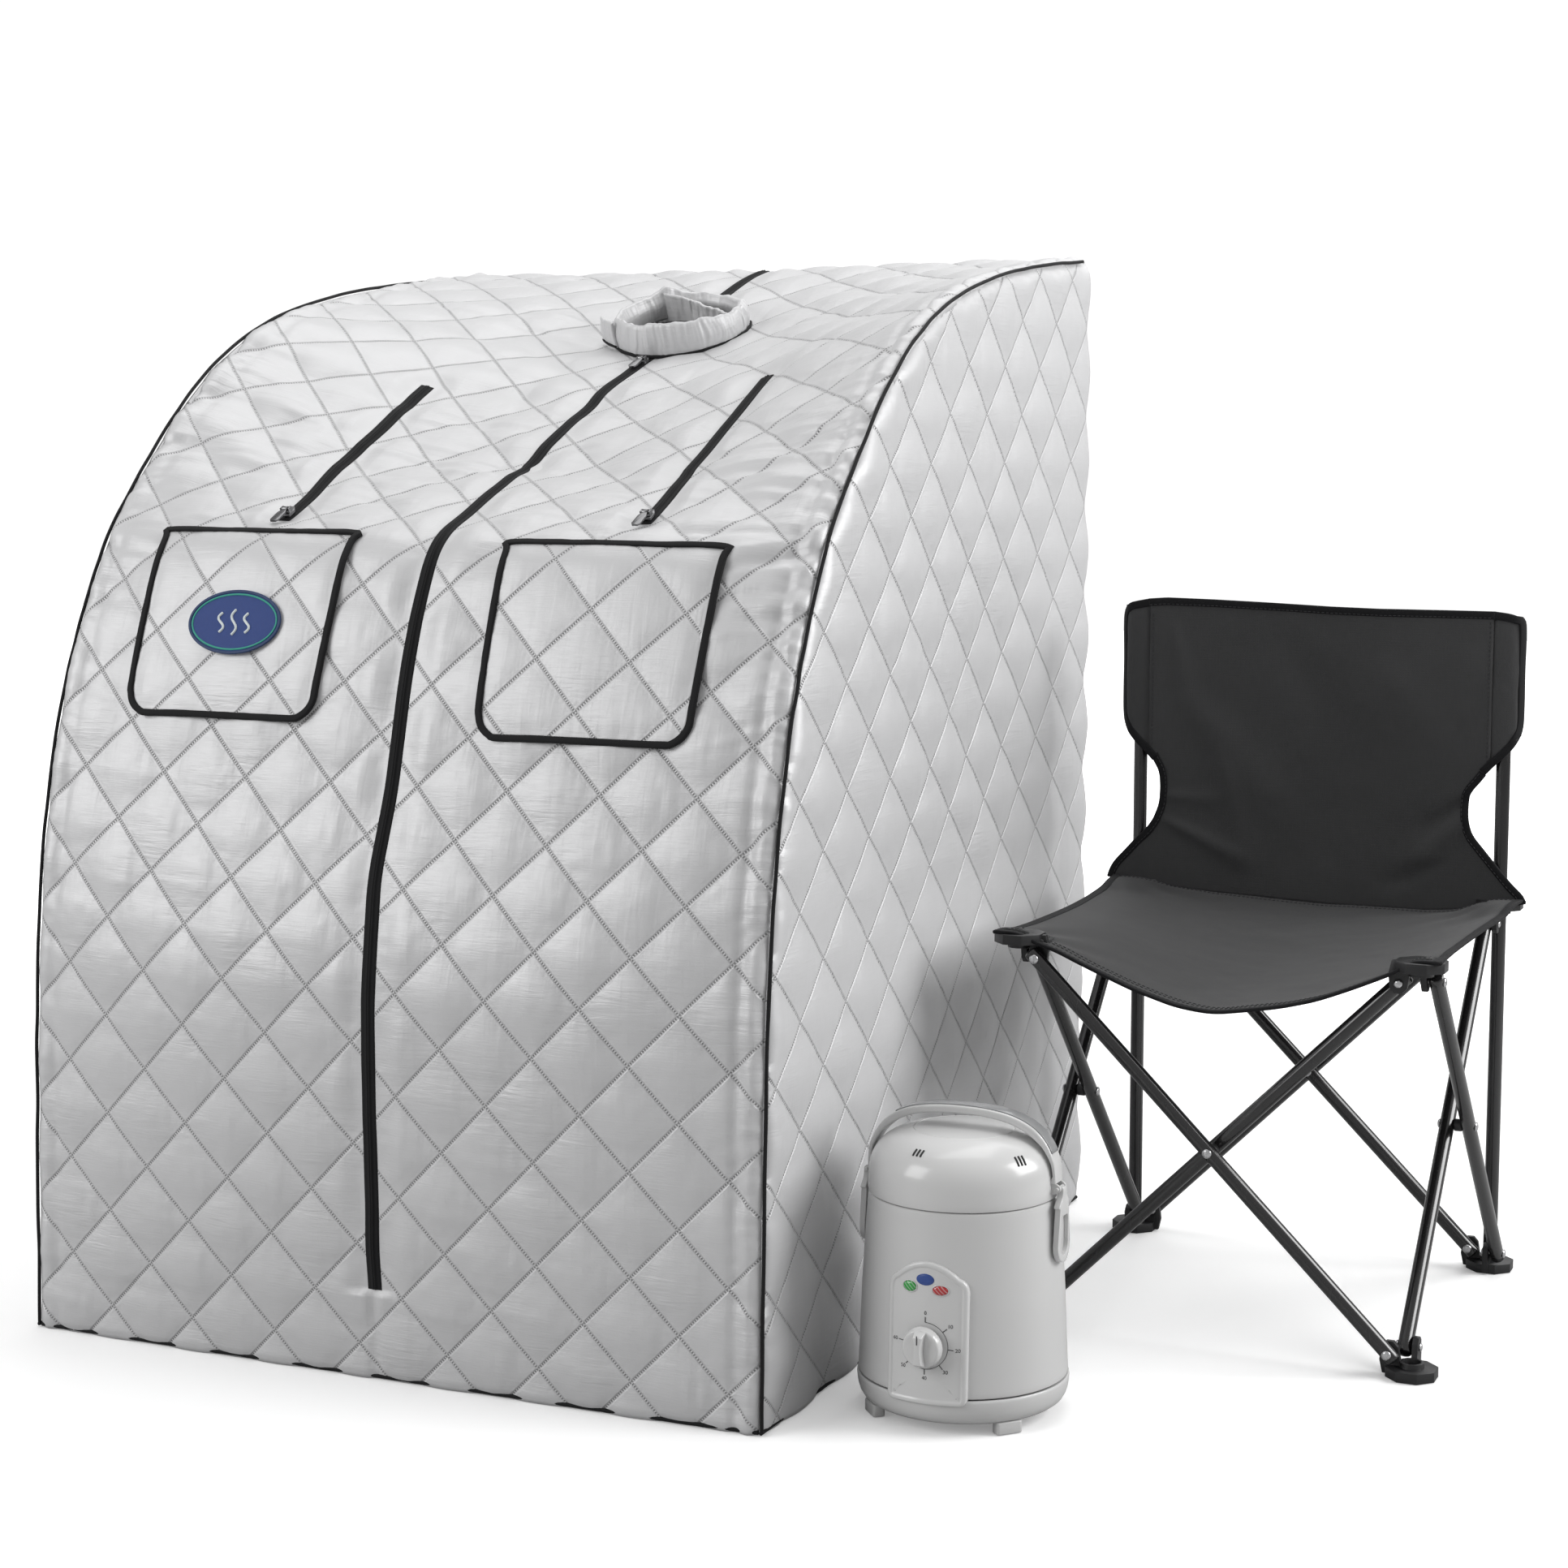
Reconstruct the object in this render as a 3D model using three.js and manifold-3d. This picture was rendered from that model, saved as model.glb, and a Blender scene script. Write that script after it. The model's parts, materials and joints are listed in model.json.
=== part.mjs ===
// Portable steam sauna kit: quilted fabric cabin with a neck opening, a drum-shaped steam generator
// and a folding scissor chair, both to the right of the cabin.
// Millimetres, +Z up, +X to the right seen from the front, +Y to the rear.
// Origin: underside of the cabin floor, at its centre. Inside the group y runs from the cabin front.
import * as THREE from 'three';
import { mergeVertices } from 'three/addons/utils/BufferGeometryUtils.js';
import Module from 'manifold-3d';

const wasm = await Module();
wasm.setup();

// ---- cabin dimensions -------------------------------------------------------------------------
const WIDTH = 700;             // outside
const DEPTH = 780;
const HEIGHT = 945;            // at the rear edge
const HALF_WIDTH = WIDTH / 2;
const QUILT = 8;               // quilted wall thickness
const GAP = 0.4;               // air between neighbouring pieces
const REAR_FACE = DEPTH - 0.4; // outside of the back and rear edges of the side walls
const INNER_X = HALF_WIDTH - QUILT - GAP; // inner face of a side wall, less the gap
const FLAT = 75;               // |x| inside which the front and roof hang straight
const SIDES = { left: -1, right: 1 };

// Stations run from the floor at the front, up and over the roof, to the rear edge.
// Outside of the cover at the side seams: [y, z]
const SIDE = [
  [4, 0], [6, 60], [8, 130], [11, 200], [14, 270], [20, 345], [29, 415], [41, 475], [56, 530],
  [75, 580], [96, 625], [117, 662], [141, 698], [172, 732], [208, 768], [250, 806], [300, 842],
  [355, 871], [415, 893], [480, 909], [545, 921], [610, 929.5], [670, 936], [728, 941],
  [DEPTH, HEIGHT],
];
// and down the middle, straight between the pocket edge and the rear: [y, z]
const MIDDLE = [
  [2, 0], [1, 60], [-1, 130], [-3, 200], [-4, 270], [-2, 340], [12, 405], [32, 470], [50, 530],
  [68, 585], [86, 632], [104, 670], [128, 692], [168, 708.2], [215, 727.24], [268, 748.7],
  [325, 771.79], [385, 796.09], [445, 820.39], [507, 845.5], [565, 869], [625, 893.3],
  [683, 916], [735, 934], [DEPTH, HEIGHT],
];
// Exponent of the rise from middle to side seam at each station:
// large is flat with a late rise, 1 is a straight slope
const RISE = [
  2.2, 2.2, 2.2, 2.2, 2.2, 2.2, 2.2, 2.2, 2.2, 2.3, 2.5, 2.9, 3.2, 2.33, 1.79, 1.62, 1.45, 1.24,
  1.12, 1.12, 1.12, 1.12, 1.12, 1.12, 1.12,
];
const LAST = SIDE.length - 1;

// middle of the roof between the pocket edge and the collar
const POCKET_EDGE = MIDDLE[12];
const COLLAR_EDGE = MIDDLE[19];
const ROOF_SLOPE = Math.atan2(COLLAR_EDGE[1] - POCKET_EDGE[1], COLLAR_EDGE[0] - POCKET_EDGE[0]);

// collar centre and radii; front and rear are the collar's heights there
const NECK = { x: 8, y: 572, z: 871.8, hole: 57, inner: 58, outer: 64, front: 32, rear: 19 };

// ---- materials --------------------------------------------------------------------------------
const FINISH = {
  quilt: { color: 0xcfd0d3, roughness: 0.55 },
  piping: { color: 0x1b1b1d, roughness: 0.7 },
  zipBlack: { color: 0x202022, roughness: 0.75 },
  zipMetal: { color: 0xb9babc, roughness: 0.3, metalness: 1 },
  rod: { color: 0xa8aaad, roughness: 0.4, metalness: 1 },
  badgeBlue: { color: 0x234a86, roughness: 0.7 },
  tubeBlack: { color: 0x0c0c0d, roughness: 0.25, metalness: 0.3 },
  plasticBlack: { color: 0x141415, roughness: 0.5 },
  canvas: { color: 0x3b3b3d, roughness: 0.85 },
  shellWhite: { color: 0xd9d9d8, roughness: 0.35 },
  lampGreen: { color: 0x1f9a3a, roughness: 0.3 },
  lampRed: { color: 0xb3232b, roughness: 0.3 },
  timerGrey: { color: 0x2a2a2c, roughness: 0.6 },
  steel: { color: 0xb5b7ba, roughness: 0.35, metalness: 1 },
};

// ---- solids -----------------------------------------------------------------------------------
const mix = (from, to, t) => from + (to - from) * t;
const radians = THREE.MathUtils.degToRad;

// welds a geometry, drops collapsed triangles and turns it outside out if needed
function closed(geometry) {
  let welded = geometry.index ? geometry.clone() : mergeVertices(geometry);
  for (const name of Object.keys(welded.attributes)) {
    if (name !== 'position') welded.deleteAttribute(name);
  }
  welded.clearGroups();
  welded = mergeVertices(welded, 1e-3);
  const index = [];
  for (let i = 0; i < welded.index.count; i += 3) {
    const triangle = [0, 1, 2].map((k) => welded.index.getX(i + k));
    if (new Set(triangle).size === 3) index.push(...triangle);
  }
  const corners = [new THREE.Vector3(), new THREE.Vector3(), new THREE.Vector3()];
  let volume = 0;
  for (let i = 0; i < index.length; i += 3) {
    corners.forEach((v, k) => v.fromBufferAttribute(welded.attributes.position, index[i + k]));
    volume += corners[0].dot(corners[1].cross(corners[2]));
  }
  if (volume < 0) {
    for (let i = 0; i < index.length; i += 3) {
      [index[i], index[i + 1]] = [index[i + 1], index[i]];
    }
  }
  welded.setIndex(index);
  return welded;
}

function indexed(coordinates, index) {
  const geometry = new THREE.BufferGeometry();
  geometry.setAttribute('position', new THREE.BufferAttribute(new Float32Array(coordinates), 3));
  geometry.setIndex(index);
  return geometry;
}

// geometry to Manifold solid, and back
function solid(geometry) {
  const { attributes, index } = closed(geometry);
  return new wasm.Manifold(new wasm.Mesh({
    numProp: 3,
    vertProperties: new Float32Array(attributes.position.array),
    triVerts: new Uint32Array(index.array),
  }));
}
function shape(manifold) {
  const mesh = manifold.getMesh();
  return indexed(mesh.vertProperties, Array.from(mesh.triVerts));
}

// joined and cut give Manifold solids, union and minus give geometries
const joined = (...parts) => parts.map(solid).reduce((sum, part) => sum.add(part));
const cut = (body, ...tools) => tools.map(solid).reduce((rest, tool) => rest.subtract(tool), body);
const union = (...parts) => shape(joined(...parts));
const minus = (body, ...tools) => shape(cut(solid(body), ...tools));

// ---- basic forms ------------------------------------------------------------------------------
const box = (x0, x1, y0, y1, z0, z1) => new THREE.BoxGeometry(x1 - x0, y1 - y0, z1 - z0)
  .translate((x0 + x1) / 2, (y0 + y1) / 2, (z0 + z1) / 2);

// box on the left (side -1) or right (side 1), its x given as distances from the middle
const sideBox = (side, near, far, ...yz) => box(
  Math.min(side * near, side * far), Math.max(side * near, side * far), ...yz);

const upright = (radius, height, segments) => new THREE.CylinderGeometry(
  radius, radius, height, segments).rotateX(Math.PI / 2);

function rodBetween(start, end, radius, segments = 12) {
  const from = new THREE.Vector3(...start);
  const to = new THREE.Vector3(...end);
  const run = to.clone().sub(from);
  const geometry = new THREE.CylinderGeometry(radius, radius, run.length(), segments);
  geometry.applyQuaternion(new THREE.Quaternion()
    .setFromUnitVectors(new THREE.Vector3(0, 1, 0), run.clone().normalize()));
  return geometry.translate(...from.add(to).multiplyScalar(0.5).toArray());
}

// profile of [radius, z] turned about Z; it starts and ends on the axis or closes on itself
const turned = (profile, segments) => closed(new THREE.LatheGeometry(
  profile.map(([radius, z]) => new THREE.Vector2(radius, z)), segments).rotateX(Math.PI / 2));

const polygon = (points) => new THREE.Shape(points.map(([x, y]) => new THREE.Vector2(x, y)));
const ellipse = (radiusX, radiusY) => new THREE.Shape()
  .absellipse(0, 0, radiusX, radiusY, 0, 2 * Math.PI, false);

// extrusions: up from an (x, y) outline, forwards (-Y) from (x, z), to the right (+X) from (y, z)
const extrudeUp = (outline, depth, curveSegments = 12) => new THREE.ExtrudeGeometry(
  outline, { depth, bevelEnabled: false, curveSegments });
const extrudeForward = (...args) => extrudeUp(...args).rotateX(Math.PI / 2);
const YZ_PLANE = new THREE.Matrix4().makeBasis(
  new THREE.Vector3(0, 1, 0), new THREE.Vector3(0, 0, 1), new THREE.Vector3(1, 0, 0));
const extrudeRight = (...args) => extrudeUp(...args).applyMatrix4(YZ_PLANE);

// six-sided rod along a smooth curve through the points
function tubeAlong(points, radius, steps) {
  const vectors = points.map((point) => new THREE.Vector3(...point));
  const extrudePath = new THREE.CatmullRomCurve3(vectors, false, 'centripetal');
  const sides = 6;
  const ring = polygon(Array.from({ length: sides }, (_, i) => {
    const angle = (i + 0.5) / sides * 2 * Math.PI;
    return [radius * Math.cos(angle), radius * Math.sin(angle)];
  }));
  ring.closePath();
  return closed(new THREE.ExtrudeGeometry(ring, { extrudePath, steps, bevelEnabled: false }));
}

// closed slab between two grids of points; rows and columns match
function slab(upper, lower) {
  const rows = upper.length;
  const columns = upper[0].length;
  const below = rows * columns;   // index offset from an upper point to the lower one
  const at = (i, j) => i * columns + j;
  const index = [];
  const quad = (a, b, c, d) => index.push(a, b, c, a, c, d);
  const edge = (a, b) => quad(a, b, below + b, below + a);
  for (let i = 0; i + 1 < rows; i++) {
    for (let j = 0; j + 1 < columns; j++) {
      const corners = [at(i, j), at(i + 1, j), at(i + 1, j + 1), at(i, j + 1)];
      const [a, b, c, d] = corners.map((corner) => below + corner);
      quad(...corners);
      quad(a, d, c, b);
    }
  }
  for (let i = 0; i + 1 < rows; i++) {
    edge(at(i + 1, 0), at(i, 0));
    edge(at(i, columns - 1), at(i + 1, columns - 1));
  }
  for (let j = 0; j + 1 < columns; j++) {
    edge(at(0, j), at(0, j + 1));
    edge(at(rows - 1, j + 1), at(rows - 1, j));
  }
  return closed(indexed([...upper.flat(), ...lower.flat()].flat(), index));
}

// ---- the cover's outside surface --------------------------------------------------------------
function stationPoint(i, x) {
  const across = THREE.MathUtils.clamp((Math.abs(x) - FLAT) / (HALF_WIDTH - FLAT), 0, 1);
  const rise = across ** RISE[i];
  return MIDDLE[i].map((value, axis) => mix(value, SIDE[i][axis], rise));
}

// unit vector between two [y, z] points, or null where they coincide
function direction(from, to) {
  const run = [to[0] - from[0], to[1] - from[1]];
  const length = Math.hypot(...run);
  return length < 1e-9 ? null : [run[0] / length, run[1] / length];
}

// the point `out` millimetres outside the cover at x and a (fractional) station
function onSurface(x, station, out) {
  const pointAt = (position) => {
    const i = Math.min(LAST - 1, Math.floor(position));
    const next = stationPoint(i + 1, x);
    return stationPoint(i, x).map((value, axis) => mix(value, next[axis], position - i));
  };
  const step = 0.02;
  const here = pointAt(station);
  const leaving = direction(here, pointAt(Math.min(LAST, station + step)));
  const incoming = direction(pointAt(Math.max(0, station - step)), here) ?? leaving;
  const outgoing = leaving ?? incoming;
  const along = direction([0, 0], [incoming[0] + outgoing[0], incoming[1] + outgoing[1]]);
  // offset along the mitre, limited at sharp bends
  const mitre = Math.max(0.5, along[0] * outgoing[0] + along[1] * outgoing[1]);
  const offset = out / mitre;
  return [x, here[0] - along[1] * offset, Math.max(0, here[1] + along[0] * offset)];
}

// both ends and every whole station between them
function stations(first, last) {
  const list = [first];
  for (let i = Math.floor(first) + 1; i < last - 1e-6; i++) list.push(i);
  return [...list, last];
}

// sheet following the surface between two stations, from `low` to `high` outwards
function sheet(xs, [first, last], low, high) {
  const layer = (out) => stations(first, last).map((s) => xs.map((x) => onSurface(x, s, out)));
  return slab(layer(high), layer(low));
}
const strip = (x, halfWidth, range, low, high) => sheet(
  [x - halfWidth, x + halfWidth], range, low, high);

// ---- assembly helpers -------------------------------------------------------------------------
const sauna = new THREE.Group();
sauna.position.set(0, -DEPTH / 2, 0);

function add(name, geometry, finish, parent = sauna) {
  const mesh = new THREE.Mesh(closed(geometry), new THREE.MeshStandardMaterial(finish));
  mesh.name = name;
  parent.add(mesh);
}
function addGroup(matrix, parent = sauna) {
  const group = new THREE.Group();
  matrix.decompose(group.position, group.quaternion, group.scale);
  parent.add(group);
  return group;
}
const moved = (x, y, z) => new THREE.Matrix4().makeTranslation(x, y, z);
// frame lying on the cover: +Y up the slope, +Z outwards
const tilted = (x, y, z, angle) => moved(x, y, z)
  .multiply(new THREE.Matrix4().makeRotationX(angle));
const neckFrame = tilted(NECK.x, NECK.y, NECK.z, ROOF_SLOPE);

// ---- zip dimensions ---------------------------------------------------------------------------
const TAPE = { half: 13.2 / 2, top: -1.6, bottom: -4 };   // faces measured out from the quilt
const SLOT_HALF = TAPE.half + GAP;
// stations covered by each tape, and by the slot cut for it
const MAIN_ZIP = { tape: [1.24, 19.18], slot: [1.22, 19.4], sliderY: 500 };
const REAR_ZIP = { tape: [21.04, 23.13], slot: [20.9, 23.15] };
const ARM_ZIP = { tape: [12.54, 17.28], slot: [12.53, 17.29], y: 150, z: 701, angle: 27.22 };
const ARM_ZIP_X = { left: -172, right: 178 };

// ---- cabin fabric and frame -------------------------------------------------------------------
const PIPING_R = 2.5;
const ROD_R = 4.5;          // frame rods
const BOW_X = 331;
const BOW_INSET = 9;        // rod axis from the inside of the quilt
const BOW_REAR_Y = 764;     // rod axis where it runs down the rear corner
const CROSSBAR_HALF = BOW_X - ROD_R - 1;
const CROSSBARS = { ridge: [145, 674], rear_top: [757, 918] };   // [y, z]

// the side seam moved inwards
const insetSeam = (distance) => SIDE.map(([y, z], i) => {
  const before = SIDE[Math.max(0, i - 1)];
  const after = SIDE[Math.min(LAST, i + 1)];
  const [alongY, alongZ] = direction(before, after);
  return [y + alongZ * distance, z - alongY * distance];
});

// flat panel inside the piping
function sidePanel(side) {
  const seam = insetSeam(7);
  const outline = polygon([
    [seam[0][0], 6], ...seam.slice(1, -1),
    [REAR_FACE, seam[LAST][1]], [REAR_FACE, 0], [10, 0],
  ]);
  const x = Math.min(side * HALF_WIDTH, side * (HALF_WIDTH - QUILT));
  return extrudeRight(outline, QUILT).translate(x, 0, 0);
}

function sidePiping(side) {
  const seam = insetSeam(PIPING_R + 0.2).slice(1);
  return tubeAlong(seam.map(([y, z]) => [side * (HALF_WIDTH - 3), y, z]), PIPING_R, 30);
}

// front and roof on one side of the centre zip, with the neck hole and zip slots
function frontPanel(side, armZipX) {
  const armX = Math.abs(armZipX);
  const xs = [0.3, FLAT, 120, armX - SLOT_HALF, armX + SLOT_HALF, 235, 290, 325, INNER_X]
    .map((x) => side * x);
  const under = -QUILT - 4;
  return minus(sheet(xs, [0, LAST], -QUILT, 0),
    upright(NECK.hole, 60, 24).applyMatrix4(neckFrame),
    strip(0, SLOT_HALF, MAIN_ZIP.slot, under, 3),
    strip(0, SLOT_HALF, REAR_ZIP.slot, under, 3),
    strip(armZipX, SLOT_HALF, ARM_ZIP.slot, under, 4));
}

// frame rod bent along the cover, over the roof and down the rear corner
function frameBow(side) {
  const x = side * BOW_X;
  const cover = stations(0.3, LAST - 1).map((s) => onSurface(x, s, -QUILT - BOW_INSET));
  const [, endY, endZ] = cover[cover.length - 1];
  const rear = [
    [endY + 16, endZ + 0.5], [757, endZ - 5], [763, endZ - 20], [BOW_REAR_Y, endZ - 60],
    [BOW_REAR_Y, 500], [BOW_REAR_Y, 250], [BOW_REAR_Y, 14],
  ];
  return tubeAlong([...cover, ...rear.map(([y, z]) => [x, y, z])], ROD_R, 36);
}

add('floor_panel', box(-INNER_X, INNER_X, 16, DEPTH - QUILT - GAP - 0.2, 0, QUILT), FINISH.quilt);
add('back_panel', box(-INNER_X, INNER_X, DEPTH - QUILT, REAR_FACE, 0, 933.8), FINISH.quilt);
for (const [name, side] of Object.entries(SIDES)) {
  add(`${name}_side_panel`, sidePanel(side), FINISH.quilt);
  add(`piping_${name}`, sidePiping(side), FINISH.piping);
  add(`front_${name}_panel`, frontPanel(side, ARM_ZIP_X[name]), FINISH.quilt);
  add(`frame_bow_${name}`, frameBow(side), FINISH.rod);
}
for (const [name, yz] of Object.entries(CROSSBARS)) {
  const bar = rodBetween([-CROSSBAR_HALF, ...yz], [CROSSBAR_HALF, ...yz], ROD_R);
  add(`crossbar_${name}`, bar, FINISH.rod);
}

// ---- pockets and badge ------------------------------------------------------------------------
const POCKETS = {
  left: { xs: [-272, -235, -180, -120, -79], range: [8.14, 11.8] },
  right: { xs: [74, FLAT, 120, 180, 235, 268], range: [8, 11.5] },
};
const BADGE = { x: -171, station: 9.6, out: 6.9, radiusX: 46, radiusY: 28, thickness: 1.6 };

function addBadge() {
  const centre = onSurface(BADGE.x, BADGE.station, BADGE.out);
  const above = onSurface(BADGE.x, BADGE.station + 0.02, BADGE.out);
  const tilt = Math.atan2(above[2] - centre[2], above[1] - centre[1]);
  const oval = extrudeUp(ellipse(BADGE.radiusX, BADGE.radiusY), BADGE.thickness);
  add('badge', oval, FINISH.badgeBlue, addGroup(tilted(...centre, tilt)));
}

for (const [name, { xs, range }] of Object.entries(POCKETS)) {
  add(`${name}_pocket`, sheet(xs, range, 0.9, 5.6), FINISH.quilt);
}
addBadge();

// ---- zips -------------------------------------------------------------------------------------
// Slider and pull are drawn with +Y up the slope and +Z outwards.
const PIN = { y: -2, z: 4.6 };
const acrossPin = (halfLength, radius, segments) => rodBetween(
  [-halfLength, PIN.y, PIN.z], [halfLength, PIN.y, PIN.z], radius, segments);

// flat body with two lugs and a pin
function slider() {
  const outline = polygon([[-5.4, -6.5], [5.4, -6.5], [5.4, 3], [2.6, 8], [-2.6, 8], [-5.4, 3]]);
  const lugs = [-1, 1].map((side) => sideBox(side, 3, 4.6, -4.2, 1, 1, 6));
  return union(extrudeUp(outline, 2.6).translate(0, 0, -0.9), ...lugs, acrossPin(3.5, 0.9, 8));
}

// ring on the pin and a tongue down the slope
function pull() {
  const tongue = polygon([
    [-2, -1], [-4, -7.5], [-4, -20], [-2.5, -22.5], [2.5, -22.5], [4, -20], [4, -7.5], [2, -1],
  ]);
  const thickness = 1.6;
  const blade = extrudeUp(tongue, thickness).translate(0, PIN.y, PIN.z - thickness / 2);
  return minus(union(acrossPin(2.6, 2.3, 12), blade), acrossPin(9, 1.35, 12));
}

function addTape(name, x, range) {
  add(name, strip(x, TAPE.half, range, TAPE.bottom, TAPE.top), FINISH.zipBlack);
}
function addSlider(name, matrix) {
  const frame = addGroup(matrix);
  add(`${name}_slider`, slider(), FINISH.zipMetal, frame);
  add(`${name}_pull`, pull(), FINISH.zipMetal, frame);
}

addTape('main_zip_tape', 0, MAIN_ZIP.tape);
addTape('rear_zip_tape', 0, REAR_ZIP.tape);
const sliderRise = (MAIN_ZIP.sliderY - POCKET_EDGE[0]) * Math.tan(ROOF_SLOPE);
addSlider('main_zip', tilted(0, MAIN_ZIP.sliderY, POCKET_EDGE[1] + sliderRise, ROOF_SLOPE));
for (const [name, x] of Object.entries(ARM_ZIP_X)) {
  addTape(`${name}_arm_zip_tape`, x, ARM_ZIP.tape);
  const start = tilted(x, ARM_ZIP.y, ARM_ZIP.z, radians(ARM_ZIP.angle));
  addSlider(`${name}_arm_zip`, start.multiply(moved(0, 9, 2.2)));
}

// ---- neck collar ------------------------------------------------------------------------------
// slightly tapered ring, taller at the front
function neckCollar() {
  const segments = 32;
  const bottom = 0.5;
  const points = [];
  const index = [];
  for (let i = 0; i < segments; i++) {
    const angle = i / segments * 2 * Math.PI;
    const top = mix(NECK.front, NECK.rear, (Math.sin(angle) + 1) / 2);
    const section = [   // [radius, z]
      [NECK.outer, bottom], [NECK.outer - 1.5, top], [NECK.inner - 1, top], [NECK.inner, bottom],
    ];
    for (const [radius, z] of section) {
      const point = new THREE.Vector3(radius * Math.cos(angle), radius * Math.sin(angle), z);
      points.push(point.applyMatrix4(neckFrame).toArray());
    }
    const next = (i + 1) % segments;
    for (let k = 0; k < 4; k++) {
      const a = i * 4 + k;
      const b = i * 4 + (k + 1) % 4;
      const c = next * 4 + (k + 1) % 4;
      const d = next * 4 + k;
      index.push(a, c, b, a, d, c);
    }
  }
  return indexed(points.flat(), index);
}

// loose end of the collar, closing over its left front and swinging out at its first edge
function collarFlap() {
  const angles = [198, 206, 214, 222].map(radians);
  const swing = 10;
  const edge = (radius, z) => angles.map((angle, i) => {
    const reach = radius + swing * (3 - i) / 3;
    return [reach * Math.cos(angle), reach * Math.sin(angle), z];
  });
  const face = (radius) => [edge(radius, 2.8), edge(radius, 28)];
  return slab(face(68.6), face(65));
}

add('neck_collar', neckCollar(), FINISH.quilt);
add('collar_flap', collarFlap(), FINISH.quilt, addGroup(neckFrame));

// ---- steam generator --------------------------------------------------------------------------
// Its frame has the drum's axis as Z and the controls to the front.
const steamer = addGroup(moved(463, 142, 0));
const KNOB_Z = 72.4;
const LATCH_PIN = { x: 80.6, z: 186 };
const PEG_Z = 140;
// profiles are [radius, z]
const DRUM_WALL = [[84, 30.4], [83, 50], [81, 100], [78.6, 140], [76, 176]];
const DRUM_INSIDE = [[73, 176], [75.6, 140], [78, 100], [80, 50], [80.6, 34], [0, 34]];
const TRAY = [
  [0, 8], [70, 8], [79, 10], [83, 15.5], [84.6, 23], [84.6, 30],
  [81, 30], [81, 24], [79.5, 17], [76, 13], [0, 12],
];
const FASCIA_SKIN = [
  [85, 20], [88.6, 20], [88.4, 31], [87, 50], [85, 100], [82.6, 140], [82.4, 146],
  [78.9, 146], [79.2, 140], [81.6, 100], [83.6, 50], [85, 31], [85, 20],
];
const POT = [
  [0, 40], [54, 40], [58, 44], [58, 169], [69, 169], [69, 171],
  [56.5, 171], [56.5, 45], [53, 41.6], [0, 41.6],
];
const DOME = [
  [76.3, 176.5], [76.1, 190], [73.6, 204.5], [67, 215.8], [55, 223.2], [32, 227.4], [0, 228.4],
  [0, 225.2], [31.5, 224.2], [53.6, 220.2], [64.6, 213.4], [70.6, 203.4], [73, 190],
  [73.2, 176.5], [76.3, 176.5],
];
// carrying handle as [x, z]: outer edge up its left half, inner edge up its right half
const HANDLE_OUTER = [
  [-79.3, 196], [-77.5, 208], [-71, 222], [-60, 233], [-44, 240.5], [-24, 244.3], [0, 245.4],
];
const HANDLE_INNER = [
  [76.6, 196], [75.4, 204.6], [70.7, 213.6], [66, 219.5], [56, 227.6], [42, 234.3], [23, 238],
  [0, 239.1],
];
// lamp centres, and radii of the lens and of its hole
const LAMPS = {
  green: { x: -13.7, z: 117.7, lens: [5.9, 4.2], hole: [6.3, 4.6], finish: FINISH.lampGreen },
  red: { x: 11.7, z: 116.7, lens: [6.3, 3.8], hole: [6.7, 4.2], finish: FINISH.lampRed },
};

// hole for the knob's shaft through the drum wall and fascia
const shaftHole = rodBetween([0, -95, KNOB_Z], [0, -66, KNOB_Z], 3.6);

// tray on four feet
function steamerBase() {
  const feet = [48, 132, 228, 312].map(radians).map((angle) => box(-11, 11, -5, 5, 0, 10)
    .rotateZ(angle)
    .translate(75 * Math.sin(angle), -75 * Math.cos(angle), 0));
  return union(turned(TRAY, 24), ...feet);
}

// drum with a peg on each side
function steamerBody() {
  const drum = turned([[0, DRUM_WALL[0][1]], ...DRUM_WALL, ...DRUM_INSIDE], 24);
  const pegs = [-1, 1].map((side) => rodBetween(
    [side * 76, 0, PEG_Z], [side * 79, 0, PEG_Z], 5, 8));
  return minus(union(drum, ...pegs), shaftHole);
}

// fascia: arched plate bent round the front of the drum
function controlPanel() {
  const arch = new THREE.Shape();
  arch.moveTo(-27, 26);
  arch.lineTo(27, 26);
  arch.quadraticCurveTo(33, 26, 33, 33);
  arch.lineTo(33, 114);
  arch.quadraticCurveTo(33, 123, 26, 126);
  arch.quadraticCurveTo(14, 137.5, 0, 138);
  arch.quadraticCurveTo(-14, 137.5, -26, 126);
  arch.quadraticCurveTo(-33, 123, -33, 114);
  arch.lineTo(-33, 33);
  arch.quadraticCurveTo(-33, 26, -27, 26);
  const block = extrudeForward(arch, 60, 5).translate(0, -40, 0);
  const plate = solid(block).intersect(solid(turned(FASCIA_SKIN, 60)));
  const lampHoles = Object.values(LAMPS).map(({ x, z, hole }) => extrudeForward(
    ellipse(...hole), 30, 8).translate(x, -70, z));
  return shape(cut(plate, shaftHole, ...lampHoles));
}

function drumRadiusAt(height) {
  const above = DRUM_WALL.findIndex(([, z]) => z >= height);
  const [lowRadius, lowZ] = DRUM_WALL[above - 1];
  const [highRadius, highZ] = DRUM_WALL[above];
  return mix(lowRadius, highRadius, (height - lowZ) / (highZ - lowZ));
}

// lens standing off the drum wall and reaching just past the fascia
function lampLens({ x, z, lens }) {
  const radius = drumRadiusAt(z);
  const front = Math.sqrt((radius + 4) ** 2 - x * x) + 0.5;
  const back = Math.sqrt(radius ** 2 - x * x) + 1.2;
  return extrudeForward(ellipse(...lens), front - back, 8).translate(x, -back, z);
}

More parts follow.
